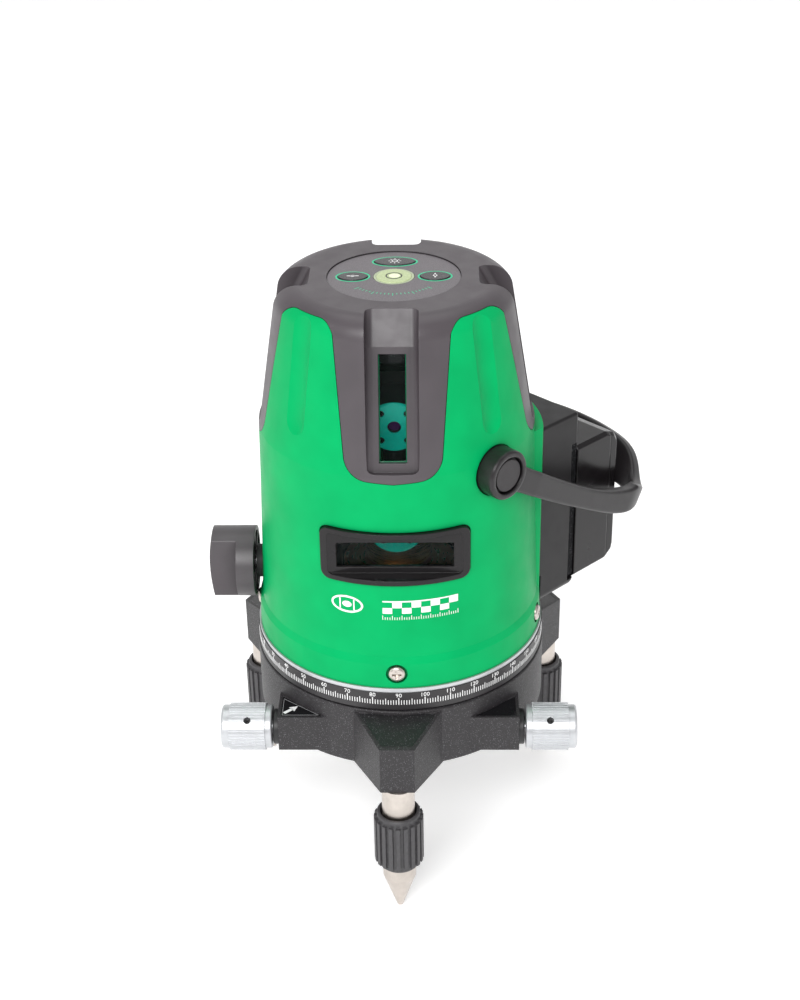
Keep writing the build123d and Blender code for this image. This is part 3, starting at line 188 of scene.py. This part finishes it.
def soft_touch(name, colour, shaded_back_colour):
    """Matt soft plastic of the cover and the lock, with painted shade in its creases and edges painted
    lighter (part wear, part painted highlight); the battery housing, at the back right and lower than the
    cover, gets painted shade: a darker colour and weaker gloss in place of the shadow it lies in."""
    paint = Paint(name, colour, 0.42)
    place = paint.axes()
    # Painted shade: the zone behind and below the cover gets a darker colour and less gloss, standing in
    # for the shadow on that side.
    to_the_back = paint.math("ADD", place["X"], place["Y"])
    toward_pack = paint.math("GREATER_THAN", to_the_back, HOUSING_X_PLUS_Y * MM)
    below_cover = paint.math("LESS_THAN", place["Z"], HOUSING_TOP_Z * MM)
    behind = paint.math("MULTIPLY", toward_pack, below_cover)
    paint.link(paint.spread(behind, 0.0, 1.0, 0.5, 0.32), "Specular IOR Level")
    mottling = paint.spread(paint.noise(14.0, 2.0), 0.3, 0.7)
    front = paint.mix(mottling, shade(colour, 0.93), shade(colour, 1.06))
    rear = paint.mix(mottling, shade(shaded_back_colour, 0.85), shade(shaded_back_colour, 1.1))
    # Edges painted lighter in colour: partly rubbed wear, partly a painted highlight.
    edge_wear_and_highlight_mask = paint.edges(0.35)
    worn_and_highlit = paint.mix(paint.math("MULTIPLY", edge_wear_and_highlight_mask, 0.25), front, shade(colour, 1.5))
    # Painted shade in creases and gaps.
    shaded = paint.mix(paint.open_air(9.0), shade(colour, 0.2), worn_and_highlit)
    paint.link(paint.mix(behind, shaded, rear), "Base Color")
    handled = paint.spread(paint.noise(6.0, 4.0), 0.35, 0.75, 0.36, 0.46)
    paint.link(paint.math("SUBTRACT", handled, paint.math("MULTIPLY", edge_wear_and_highlight_mask, 0.08)), "Roughness")
    paint.bevel(0.35)
    paint.bump(paint.noise(0.25, 2.0), 0.008)
    return paint.done()


def powder_coat(name, colour):
    """Black powder coat over a sandblasted casting, with tiny bright flakes."""
    paint = Paint(name, colour, 0.5)
    flakes = paint.flakes(0.15)
    sparkle = paint.spread(flakes, 0.955, 0.99, 0.0, 0.32)
    lumps = paint.noise(0.5, 4.0, 0.7)
    ground = paint.mix(paint.spread(lumps, 0.3, 0.75), shade(colour, 0.75), shade(colour, 1.45))
    paint.link(paint.mix(sparkle, ground, (0.62, 0.62, 0.66)), "Base Color")
    paint.link(paint.math("MULTIPLY", sparkle, 0.8), "Metallic")
    rough = paint.spread(lumps, 0.3, 0.7, 0.42, 0.62)
    paint.link(paint.math("SUBTRACT", rough, paint.math("MULTIPLY", sparkle, 0.3)), "Roughness")
    paint.bevel(0.5)
    paint.bump(lumps, 0.09)
    paint.bump(flakes, 0.02, 0.6)
    return paint.done()


WING_PLATES_Y = (-47.5, -30.0)
RAIL_LOW_Z = 30.0


def plate_film(name, colour):
    """Plates of the base: glossy film on the wings, fine-flaked coat on the sloping arm tops. The
    battery rail, higher up, is dead black."""
    paint = Paint(name, colour, 0.2)
    place = paint.axes()
    on_rail = paint.math("GREATER_THAN", place["Z"], RAIL_LOW_Z * MM)
    paint.link(paint.spread(on_rail, 0.0, 1.0, 0.5, 0.04), "Specular IOR Level")
    behind_front_arm = paint.math("GREATER_THAN", place["Y"], WING_PLATES_Y[0] * MM)
    before_rear_arms = paint.math("LESS_THAN", place["Y"], WING_PLATES_Y[1] * MM)
    on_wing = paint.math("MULTIPLY", behind_front_arm, before_rear_arms)
    flakes = paint.flakes(0.16)
    sparkle = paint.spread(flakes, 0.95, 0.99, 0.0, 0.35)
    flaked = paint.mix(sparkle, colour, (0.45, 0.45, 0.48))
    paint.link(paint.mix(on_wing, flaked, colour), "Base Color")
    gloss = paint.math("MULTIPLY", on_wing, 0.26)
    paint.link(paint.math("SUBTRACT", 0.42, gloss), "Roughness")
    paint.bump(flakes, 0.01, 0.4)
    return paint.done()


def turned_metal(name, colour, roughness):
    """Lathe-turned metal: fine rings round the Z axis, with slight colour and gloss variation."""
    paint = Paint(name, colour, roughness, 1.0)
    squeezed = paint.add("ShaderNodeMapping", {"Vector": paint.place}, {"Scale": (0.02, 0.02, 1.0)})
    rings = paint.noise(0.12, 3.0, 0.6, squeezed.outputs["Vector"])
    clouds = paint.spread(paint.noise(5.0, 3.0), 0.3, 0.7)
    paint.link(paint.mix(clouds, shade(colour, 0.88), shade(colour, 1.05)), "Base Color")
    paint.link(paint.spread(rings, 0.3, 0.7, roughness * 0.8, roughness * 1.25), "Roughness")
    paint.bevel(0.2)
    paint.bump(rings, 0.004)
    return paint.done()


def satin_metal(name, colour, roughness):
    """Bright anodised aluminium: satin, slightly cloudy, with edges painted brighter, part wear and part
    painted highlight.
    """
    paint = Paint(name, colour, roughness, 0.6)
    clouds = paint.noise(3.0, 3.0)
    # Edges painted lighter in colour: partly rubbed wear, partly a painted highlight.
    edge_wear_and_highlight_mask = paint.edges(0.2)
    ground = paint.mix(paint.spread(clouds, 0.3, 0.7), shade(colour, 0.93), shade(colour, 1.05))
    paint.link(paint.mix(edge_wear_and_highlight_mask, ground, shade(colour, 1.15)), "Base Color")
    paint.link(paint.spread(clouds, 0.3, 0.7, roughness - 0.06, roughness + 0.06), "Roughness")
    paint.bevel(0.15)
    paint.bump(paint.noise(0.12, 2.0), 0.003)
    return paint.done()


def polished(name, colour, roughness):
    """Gloss surface with faint waviness and fine dust-like variation in its gloss."""
    paint = Paint(name, colour, roughness)
    dust = paint.noise(0.8, 5.0, 0.7)
    paint.link(paint.mix(paint.spread(dust, 0.4, 0.8), colour, shade(colour, 1.35)), "Base Color")
    paint.link(paint.spread(dust, 0.35, 0.8, roughness, roughness + 0.09), "Roughness")
    paint.bevel(0.2)
    paint.bump(paint.noise(3.0, 2.0), 0.01)
    return paint.done()


def speckled_film(name, colour):
    """Grained label film: dark grey with a fine pale and dark speckle."""
    paint = Paint(name, colour, 0.5)
    grain = paint.noise(0.28, 2.0, 0.8)
    speckle = paint.spread(grain, 0.35, 0.65)
    paint.link(paint.mix(speckle, shade(colour, 0.7), shade(colour, 1.4)), "Base Color")
    paint.link(paint.spread(grain, 0.3, 0.7, 0.42, 0.6), "Roughness")
    paint.bump(grain, 0.03)
    return paint.done()


def window_pane(name, colour, cover):
    """Thin clear window: covers only a share of what is behind it, with smears in its gloss."""
    paint = Paint(name, colour, 0.04, Alpha=cover)
    smear = paint.noise(9.0, 2.0, 0.5)
    paint.link(paint.spread(smear, 0.45, 0.85, 0.03, 0.06), "Roughness")
    return paint.done()


NOSE_FOOT_R = 27.2


def anodised_nose(name, colour, body):
    """Laser barrels: anodised nose plate facing outwards on a dark body, with a painted glow in its own
    colour standing in for light that does not reach into the barrel.
    """
    # Painted light: the emission makes the plate glow though it is no lamp.
    paint = Paint(name, colour, 0.34, 0.2, **{"Emission Strength": 0.28})
    place = paint.axes()
    across_squared = paint.math("MULTIPLY", place["X"], place["X"])
    depth_squared = paint.math("MULTIPLY", place["Y"], place["Y"])
    radius = paint.math("SQRT", paint.math("ADD", across_squared, depth_squared))
    nose = paint.math("GREATER_THAN", radius, NOSE_FOOT_R * MM)
    cloud = paint.noise(1.5, 3.0)
    anodised = paint.mix(paint.spread(cloud, 0.3, 0.7), shade(colour, 0.9), shade(colour, 1.1))
    tone_and_painted_glow = paint.mix(nose, body, anodised)
    paint.link(tone_and_painted_glow, "Base Color")
    paint.link(tone_and_painted_glow, "Emission Color")
    paint.link(paint.spread(cloud, 0.3, 0.7, 0.30, 0.42), "Roughness")
    paint.bump(paint.noise(0.2, 2.0), 0.004)
    return paint.done()


def ribbed_grip(name, colour):
    """Dark collar plastic, dusty in its hollows."""
    paint = Paint(name, colour, 0.48)
    dust = paint.noise(1.2, 4.0, 0.65)
    paint.link(paint.mix(paint.spread(dust, 0.4, 0.75), colour, shade(colour, 1.7)), "Base Color")
    paint.link(paint.spread(dust, 0.3, 0.8, 0.4, 0.6), "Roughness")
    paint.bevel(0.3)
    paint.bump(paint.noise(0.3, 2.0), 0.02)
    return paint.done()


SOFT_BLACK = (0.066, 0.056, 0.063)
GREEN = (0.0, 0.385, 0.112)
MATERIALS = {
    "black_cast": powder_coat("black_cast", (0.018, 0.016, 0.018)),
    "gloss_black": plate_film("gloss_black", (0.007, 0.007, 0.008)),
    "brass": turned_metal("brass", (0.78, 0.57, 0.25), 0.28),
    "nickel_steel": turned_metal("nickel_steel", (0.60, 0.545, 0.50), 0.32),
    "steel": turned_metal("steel", (0.56, 0.56, 0.58), 0.3),
    "black_steel": polished("black_steel", (0.010, 0.010, 0.011), 0.42),
    "dark_grip": ribbed_grip("dark_grip", (0.045, 0.043, 0.046)),
    "bronze_bush": turned_metal("bronze_bush", (0.55, 0.40, 0.24), 0.42),
    "bright_aluminium": satin_metal("bright_aluminium", (0.56, 0.57, 0.59), 0.36),
    "inner_aluminium": turned_metal("inner_aluminium", (0.06, 0.06, 0.065), 0.5),
    "inner_plastic": moulded("inner_plastic", (0.012, 0.012, 0.013), 0.65),
    "dial_black": moulded("dial_black", (0.022, 0.020, 0.022), 0.42, grain_depth_mm=0.006),
    "green_shell": moulded("green_shell", GREEN, 0.42, grain_mm=0.35, grain_depth_mm=0.006, edge_wear_and_highlight=0.1,
                           **{"Specular IOR Level": 0.07}),
    # The third colour is the painted-shade colour of the battery housing.
    "black_soft_plastic": soft_touch("black_soft_plastic", SOFT_BLACK, (0.008, 0.007, 0.008)),
    # Window frame: its edges are painted strongly lighter as a painted highlight, with painted shade in
    # its grooves.
    "window_frame": moulded("window_frame", shade(SOFT_BLACK, 0.14), 0.24, grain_depth_mm=0.003,
                            edge_mm=0.5, edge_wear_and_highlight=1.0, **{"Specular IOR Level": 0.30}),
    "clear_glass": window_pane("clear_glass", (0.004, 0.012, 0.008), 0.12),
    "panel_label": speckled_film("panel_label", (0.140, 0.128, 0.138)),
    "gloss_button": polished("gloss_button", (0.025, 0.024, 0.027), 0.22),
    "circuit_board": moulded("circuit_board", (0.02, 0.16, 0.08), 0.45),
    "vial_plastic": polished("vial_plastic", (0.36, 0.42, 0.27), 0.12),
    "vial_liquid": polished("vial_liquid", (0.42, 0.50, 0.26), 0.08),
    "copper": turned_metal("copper", (0.72, 0.40, 0.26), 0.3),
    "magnet_nickel": turned_metal("magnet_nickel", (0.7, 0.7, 0.7), 0.2),
    "teal_anodised": anodised_nose("teal_anodised", (0.0, 0.40, 0.30), (0.006, 0.007, 0.008)),
    "dark_lens": polished("dark_lens", (0.05, 0.008, 0.07), 0.06),
    "pack_plastic": moulded("pack_plastic", shade(SOFT_BLACK, 0.14), 0.24, grain_depth_mm=0.004,
                            edge_mm=0.8, **{"Specular IOR Level": 0.34}),
    "cell_wrap": polished("cell_wrap", (0.05, 0.20, 0.48), 0.25),
    "handle_rubber": moulded("handle_rubber", shade(SOFT_BLACK, 0.2), 0.36, grain_depth_mm=0.010,
                             edge_mm=1.2, **{"Specular IOR Level": 0.42}),
    "textured_cap": moulded("textured_cap", (0.020, 0.017, 0.019), 0.5, grain_mm=0.5, grain_depth_mm=0.09),
}
WHITE_PRINT = polished("white_print", (0.86, 0.86, 0.86), 0.45)
GREEN_PRINT = polished("green_print", (0.02, 0.52, 0.26), 0.4)
GLASS_RIM = polished("glass_rim", (0.0, 0.13, 0.055), 0.1)
BLACK_PRINT = polished("black_print", (0.01, 0.01, 0.01), 0.3)
GREY_PRINT = polished("grey_print", (0.35, 0.35, 0.36), 0.35)
BUBBLE = polished("bubble", (0.78, 0.86, 0.56), 0.05)


def dress():
    """Gives every CAD node the material of its slot in the record."""
    for entry in frame["record"]["subparts"]:
        mesh = frame["nodes"][entry["node"]].data
        mesh.materials.clear()
        mesh.materials.append(MATERIALS[entry["material_slot"]])


dress()

# ---- printed marks ----------------------------------------------------------------------

def on_wall(radius_at):
    """Maps (u along the wall, v up, height off it) in mm onto an upright round wall, u = 0 in front."""
    def place(u, v, height):
        radius = radius_at(v)
        angle = u / radius
        reach = radius + height
        return Vector((reach * math.sin(angle), -reach * math.cos(angle), v)) * MM
    return place


def on_level(z):
    """Maps (u, v, height) in mm onto a level face, u along +X and v along +Y."""
    return lambda u, v, height: Vector((u, v, z + height)) * MM


class Print:
    """Thin closed marks laid on a surface, gathered into one object."""

    def __init__(self, name, place, lift=0.05, sink=0.10):
        self.name, self.place, self.heights = name, place, (lift, -sink)
        self.build = bmesh.new()

    def strip(self, left, right, loop=False):
        """A band between two edges, each a list of (u, v)."""
        top, low = self.heights
        rows = [
            [self.build.verts.new(self.place(*spot, height))
             for spot, height in ((a, top), (b, top), (b, low), (a, low))]
            for a, b in zip(left, right)
        ]
        for one, two in zip(rows, rows[1:] + (rows[:1] if loop else [])):
            for k in range(4):
                self.build.faces.new((one[k], one[(k + 1) % 4], two[(k + 1) % 4], two[k]))
        if not loop:
            self.build.faces.new(rows[0])
            self.build.faces.new(rows[-1])

    def bar(self, u0, v0, u1, v1, step=1.5):
        """Upright rectangle, cut into short lengths so that it follows a round wall."""
        count = max(1, math.ceil(abs(u1 - u0) / step))
        places = [u0 + (u1 - u0) * k / count for k in range(count + 1)]
        self.strip([(u, v1) for u in places], [(u, v0) for u in places])

    def line(self, start, end, width, end_width=None):
        """Straight stroke; end_width lets it taper to an arrow head."""
        du, dv = end[0] - start[0], end[1] - start[1]
        length = math.hypot(du, dv)
        nu, nv = -dv / length / 2, du / length / 2
        spans = ((start, width), (end, width if end_width is None else end_width))
        self.strip([(p[0] + nu * w, p[1] + nv * w) for p, w in spans],
                   [(p[0] - nu * w, p[1] - nv * w) for p, w in spans])

    def ring(self, centre, radii, width, start=0.0, stop=360.0, count=64):
        """Elliptical ring or arc; radii are those of its middle line."""
        whole = stop - start >= 360.0
        turns = [math.radians(start + (stop - start) * k / count) for k in range(count + (not whole))]
        edges = [
            [(centre[0] + (radii[0] + off) * math.cos(a), centre[1] + (radii[1] + off) * math.sin(a))
             for a in turns]
            for off in (width / 2, -width / 2)
        ]
        self.strip(*edges, loop=whole)

    def disc(self, centre, radii, count=24):
        """Filled ellipse, from end to end along u; its two tips are cut off a hair's breadth."""
        turns = [0.03 + (math.pi - 0.06) * k / count for k in range(count + 1)]
        sides = [
            [(centre[0] - radii[0] * math.cos(a), centre[1] + way * radii[1] * math.sin(a)) for a in turns]
            for way in (1, -1)
        ]
        self.strip(*sides)

    def words(self, text, u, v, size):
        """Dial figures, centred on u with their foot on v."""
        curve = bpy.data.curves.new("figures", "FONT")
        curve.body, curve.size, curve.align_x = text, size, "CENTER"
        curve.resolution_u = 3
        curve.extrude = (self.heights[0] - self.heights[1]) / 2
        holder = bpy.data.objects.new("figures", curve)
        flat = bpy.data.meshes.new_from_object(holder)
        first = len(self.build.verts)
        self.build.from_mesh(flat)
        self.build.verts.ensure_lookup_table()
        middle = (self.heights[0] + self.heights[1]) / 2
        for vert in self.build.verts[first:]:
            vert.co = self.place(u + vert.co.x, v + vert.co.y, middle + vert.co.z)
        bpy.data.objects.remove(holder)
        bpy.data.curves.remove(curve)
        bpy.data.meshes.remove(flat)

    def done(self, material, body):
        """Closes the mesh, paints it and lets it ride on its body."""
        bmesh.ops.remove_doubles(self.build, verts=self.build.verts[:], dist=1e-7)
        bmesh.ops.recalc_face_normals(self.build, faces=self.build.faces[:])
        mesh = bpy.data.meshes.new(self.name)
        self.build.to_mesh(mesh)
        self.build.free()
        mesh.materials.append(material)
        piece = bpy.data.objects.new(self.name, mesh)
        SCENE.collection.objects.link(piece)
        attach(piece, body)


RING_R = 52.1
TICK_FOOT = 26.35
TICK_TOPS = {10: 29.15, 5: 28.8, 1: 28.2}
TICK_HALF = 0.14
LONG_TICK_HALF = 0.17
FIGURE_FOOT = 29.45
FIGURE_SIZE = 2.25
FRONT_READING = 90
READING_SHIFT = 0.6


def make_ring_scale():
    """Full-circle scale in degrees with figures every ten, 90 at the front."""
    scale = Print("ring_scale", on_wall(lambda v: RING_R))
    degree = RING_R * math.pi / 180
    for reading in range(360):
        turn = (reading - FRONT_READING + 180) % 360 - 180
        u = (turn + READING_SHIFT) * degree
        rank = next(step for step in TICK_TOPS if reading % step == 0)
        half = LONG_TICK_HALF if rank == 10 else TICK_HALF
        scale.bar(u - half, TICK_FOOT, u + half, TICK_TOPS[rank])
        if rank == 10:
            scale.words(str(reading), u, FIGURE_FOOT, FIGURE_SIZE)
    scale.done(WHITE_PRINT, "turret")


VIAL_SIGN = (-16.8, 63.9)
STAFF_LEFT = -4.4
STAFF_FOOT = 61.7
BLOCK_WIDTH = 3.25
BLOCK_HEIGHT = 2.2
BLOCKS = 8
TICKS_PER_BLOCK = 4
STAFF_TICK_FOOT = 59.3


def barrel_radius(v):
    """The barrel tapers upwards by a thirtieth of its height."""
    return 49.3 - (v - 58.0) / 30.0


def make_front_print():
    """Generic marks on the front: a vial sign, a checkered staff pattern and a line of ticks."""
    marks = Print("front_print", on_wall(barrel_radius), lift=0.07)
    marks.ring(VIAL_SIGN, (5.4, 2.9), 0.75)
    marks.disc(VIAL_SIGN, (1.7, 1.15))
    for u in (VIAL_SIGN[0] - 2.5, VIAL_SIGN[0] + 2.5):
        marks.bar(u - 0.25, VIAL_SIGN[1] - 2.0, u + 0.25, VIAL_SIGN[1] + 2.0)
    for k in range(BLOCKS):
        u = STAFF_LEFT + k * BLOCK_WIDTH
        low = STAFF_FOOT + (BLOCK_HEIGHT if k % 2 else 0.0)
        marks.bar(u, low, u + BLOCK_WIDTH, low + BLOCK_HEIGHT)
    staff_top = STAFF_FOOT + 2 * BLOCK_HEIGHT
    marks.bar(STAFF_LEFT, staff_top, STAFF_LEFT + BLOCKS * BLOCK_WIDTH, staff_top + 0.5)
    for k in range(BLOCKS * TICKS_PER_BLOCK + 1):
        u = STAFF_LEFT + k * BLOCK_WIDTH / TICKS_PER_BLOCK
        height = 1.6 if k % TICKS_PER_BLOCK == 0 else 1.0
        marks.bar(u - 0.12, STAFF_TICK_FOOT, u + 0.12, STAFF_TICK_FOOT + height)
    marks.done(WHITE_PRINT, "turret")


PANEL_TOP = 163.05
BUTTON_TOP = PANEL_TOP + 0.3
SIDE_BUTTON_X = 13.7
REAR_BUTTON_Y = 13.3
BUTTON_RINGS = (
    ((-SIDE_BUTTON_X, 0.0), (5.52, 4.22)),
    ((SIDE_BUTTON_X, 0.0), (5.52, 4.22)),
    ((0.0, REAR_BUTTON_Y), (7.52, 4.22)),
)


def make_panel_print():
    """Green rings round the buttons and an arc of ticks on the label."""
    rings = Print("panel_print", on_level(PANEL_TOP), lift=0.02, sink=0.05)
    for centre, radii in BUTTON_RINGS:
        rings.ring(centre, radii, 0.6)
    for k in range(-10, 11):
        a = math.radians(k * 5.0)
        toward_u, toward_v = math.sin(a), -math.cos(a)
        foot, top = 14.6, 16.6 if k % 5 == 0 else 15.7
        rings.line((foot * toward_u, foot * toward_v), (top * toward_u, top * toward_v), 0.28)
    rings.done(GREEN_PRINT, "turret")


def make_button_signs():
    """White sign on each button: a level line, an upright line and a sun."""
    level = Print("sign_level", on_level(BUTTON_TOP), lift=0.02, sink=0.05)
    level.line((-SIDE_BUTTON_X - 2.0, 0.0), (-SIDE_BUTTON_X + 2.0, 0.0), 0.5)
    level.disc((-SIDE_BUTTON_X, 0.0), (0.75, 0.75))
    level.done(WHITE_PRINT, "button_left")
    upright = Print("sign_upright", on_level(BUTTON_TOP), lift=0.02, sink=0.05)
    upright.line((SIDE_BUTTON_X, -1.8), (SIDE_BUTTON_X, 1.8), 0.5)
    upright.disc((SIDE_BUTTON_X, 0.0), (0.75, 0.75))
    upright.done(WHITE_PRINT, "button_right")
    sun = Print("sign_sun", on_level(BUTTON_TOP), lift=0.02, sink=0.05)
    sun.ring((0.0, REAR_BUTTON_Y), (0.95, 0.95), 0.32, count=32)
    for k in range(8):
        a = math.radians(45.0 * k)
        near, far = (
            (r * math.cos(a), REAR_BUTTON_Y + r * math.sin(a)) for r in (1.5, 2.2)
        )
        sun.line(near, far, 0.3)
    sun.done(WHITE_PRINT, "button_rear")


VIAL_TOP = 163.3


def make_vial_marks():
    """Black circle on the vial's lens with the bubble inside it."""
    circle = Print("vial_circle", on_level(VIAL_TOP), lift=0.05, sink=0.05)
    circle.ring((0.0, 0.0), (2.6, 2.6), 0.42)
    circle.done(BLACK_PRINT, "turret")
    bubble = Print("vial_bubble", on_level(VIAL_TOP), lift=0.012, sink=0.05)
    bubble.disc((0.2, 0.1), (1.9, 1.9))
    bubble.done(BUBBLE, "turret")


WING_TOP = 16.45


def make_wing_marks():
    """White arrow and a thin border on the left wing's plate."""
    arrow = Print("wing_arrow", on_level(WING_TOP), lift=0.03, sink=0.04)
    arrow.line((-40.3, -43.4), (-37.6, -41.0), 1.25)
    arrow.line((-37.75, -41.15), (-35.7, -39.3), 3.1, 0.05)
    arrow.done(WHITE_PRINT, "base")
    border = Print("wing_border", on_level(WING_TOP), lift=0.03, sink=0.04)
    corners = ((-40.85, -34.9), (-40.85, -44.55), (-28.1, -44.55))
    for start, end in zip(corners, corners[1:] + corners[:1]):
        border.line(start, end, 0.16)
    border.done(GREY_PRINT, "base")


WINDOW_TILT = math.atan2(11.3, 39.2)
WINDOW_MID_R = 39.25
WINDOW_MID_Z = 133.3
WINDOW_HALF = (4.5, 17.8)
GLASS_DEPTH = 2.15
GLASS_RIM_WIDTH = 0.35


def on_window(azimuth):
    """Maps (u across, v up the slope, height) in mm onto the glass of a vertical window."""
    a = math.radians(azimuth)
    out = Vector((math.sin(a), -math.cos(a), 0.0))
    across = Vector((math.cos(a), math.sin(a), 0.0))
    normal = out * math.cos(WINDOW_TILT) + Vector((0.0, 0.0, math.sin(WINDOW_TILT)))
    up = normal.cross(across)
    centre = out * WINDOW_MID_R + Vector((0.0, 0.0, WINDOW_MID_Z)) - normal * GLASS_DEPTH
    return lambda u, v, height: (centre + across * u + up * v + normal * height) * MM


def make_glass_edges():
    """Green-tinted rims of the four window panes, seen just inside each opening."""
    half_u, half_v = WINDOW_HALF
    for azimuth in (0, 90, 180, 270):
        rim = Print(f"window_rim_{azimuth}", on_window(azimuth), lift=0.25, sink=-0.02)
        inner_u = half_u - GLASS_RIM_WIDTH
        rim.bar(-half_u, -half_v, -inner_u, half_v)
        rim.bar(inner_u, -half_v, half_u, half_v)
        rim.bar(-inner_u, -half_v, inner_u, -half_v + 0.4)
        rim.done(GLASS_RIM, "turret")


make_glass_edges()
make_ring_scale()
make_front_print()
make_panel_print()
make_button_signs()
make_vial_marks()
make_wing_marks()

# ---- studio -----------------------------------------------------------------------------

FOOT_TIP_Z = -54.0
FLOOR_GAP = 0.2
FLOOR_Z = (FOOT_TIP_Z - FLOOR_GAP) * MM
FLOOR_HALF_WIDTH = 4.0


def make_floor():
    """Pale seamless floor with a curved rise behind the object."""
    run, rise, bend, steps = 2.6, 2.2, 0.9, 16
    profile = [(-run, 0.0), (run - bend, 0.0)]
    for k in range(1, steps + 1):
        a = math.pi / 2 * k / steps
        profile.append((run - bend + bend * math.sin(a), bend - bend * math.cos(a)))
    profile.append((run, rise))
    mesh = bpy.data.meshes.new("floor")
    build = bmesh.new()
    sides = (-FLOOR_HALF_WIDTH, FLOOR_HALF_WIDTH)
    rows = [[build.verts.new((x, y, FLOOR_Z + z)) for y, z in profile] for x in sides]
    for left, right in zip(range(len(profile) - 1), range(1, len(profile))):
        build.faces.new((rows[0][left], rows[0][right], rows[1][right], rows[1][left])).smooth = True
    build.normal_update()
    build.to_mesh(mesh)
    build.free()
    floor = bpy.data.objects.new("floor", mesh)
    SCENE.collection.objects.link(floor)
    paint = Paint("floor", (0.93, 0.93, 0.93), 0.75, **{
        "Emission Color": (1.0, 1.0, 1.0, 1.0), "Emission Strength": 0.31,
    })
    fine = paint.noise(40.0, 3.0)
    paint.link(paint.mix(fine, (0.92, 0.92, 0.92), (0.95, 0.95, 0.95)), "Base Color")
    mesh.materials.append(paint.done())


LIGHTS = {
    "key": ((-0.25, -1.2, 1.0), (1.0, 0.7), 19.0),
    "left_strip": ((-1.1, -0.3, 0.5), (0.25, 1.2), 2.0),
    "right_strip": ((1.1, -0.2, 0.5), (0.2, 1.2), 1.0),
    "top": ((0.0, 0.35, 1.4), (1.2, 1.0), 6.0),
}
LIGHT_TARGET = Vector((0.0, 0.0, 60.0)) * MM


def make_light(name, place, size, power):
    """Soft box of this size in metres and power in watts, turned to the middle of the object."""
    data = bpy.data.lights.new(name, "AREA")
    data.shape = "RECTANGLE"
    data.size, data.size_y = size
    data.energy = power
    light = bpy.data.objects.new(name, data)
    light.location = place
    light.rotation_euler = (LIGHT_TARGET - Vector(place)).to_track_quat("-Z", "Y").to_euler()
    SCENE.collection.objects.link(light)


def make_studio():
    """White ground, even surround and four soft boxes."""
    SCENE.view_settings.view_transform = "Standard"
    make_floor()
    world = bpy.data.worlds.new("studio")
    world.use_nodes = True
    background = world.node_tree.nodes["Background"]
    background.inputs["Color"].default_value = (1.0, 1.0, 1.0, 1.0)
    background.inputs["Strength"].default_value = 0.42
    SCENE.world = world
    for name, (place, size, power) in LIGHTS.items():
        make_light(name, place, size, power)


CAMERA_PLACE = Vector((17.0, -534.6, 376.8)) * MM
CAMERA_TARGET = Vector((0.0, 0.0, 78.0)) * MM
CAMERA_ROLL = math.radians(-1.1)
SENSOR_HEIGHT = 36.0
LENS = 61.94
SENSOR_SHIFT_X = 0.0018


def make_camera():
    """Camera in front of the object and a little above it, looking down at its middle."""
    data = bpy.data.cameras.new("camera")
    data.sensor_fit = "VERTICAL"
    data.sensor_height = SENSOR_HEIGHT
    data.lens = LENS
    data.shift_x = SENSOR_SHIFT_X
    data.clip_start = 0.01
    camera = bpy.data.objects.new("camera", data)
    aim = (CAMERA_TARGET - CAMERA_PLACE).to_track_quat("-Z", "Y").to_matrix().to_4x4()
    camera.matrix_world = Matrix.Translation(CAMERA_PLACE) @ aim @ Matrix.Rotation(CAMERA_ROLL, 4, "Z")
    SCENE.collection.objects.link(camera)
    SCENE.camera = camera


make_studio()
make_camera()
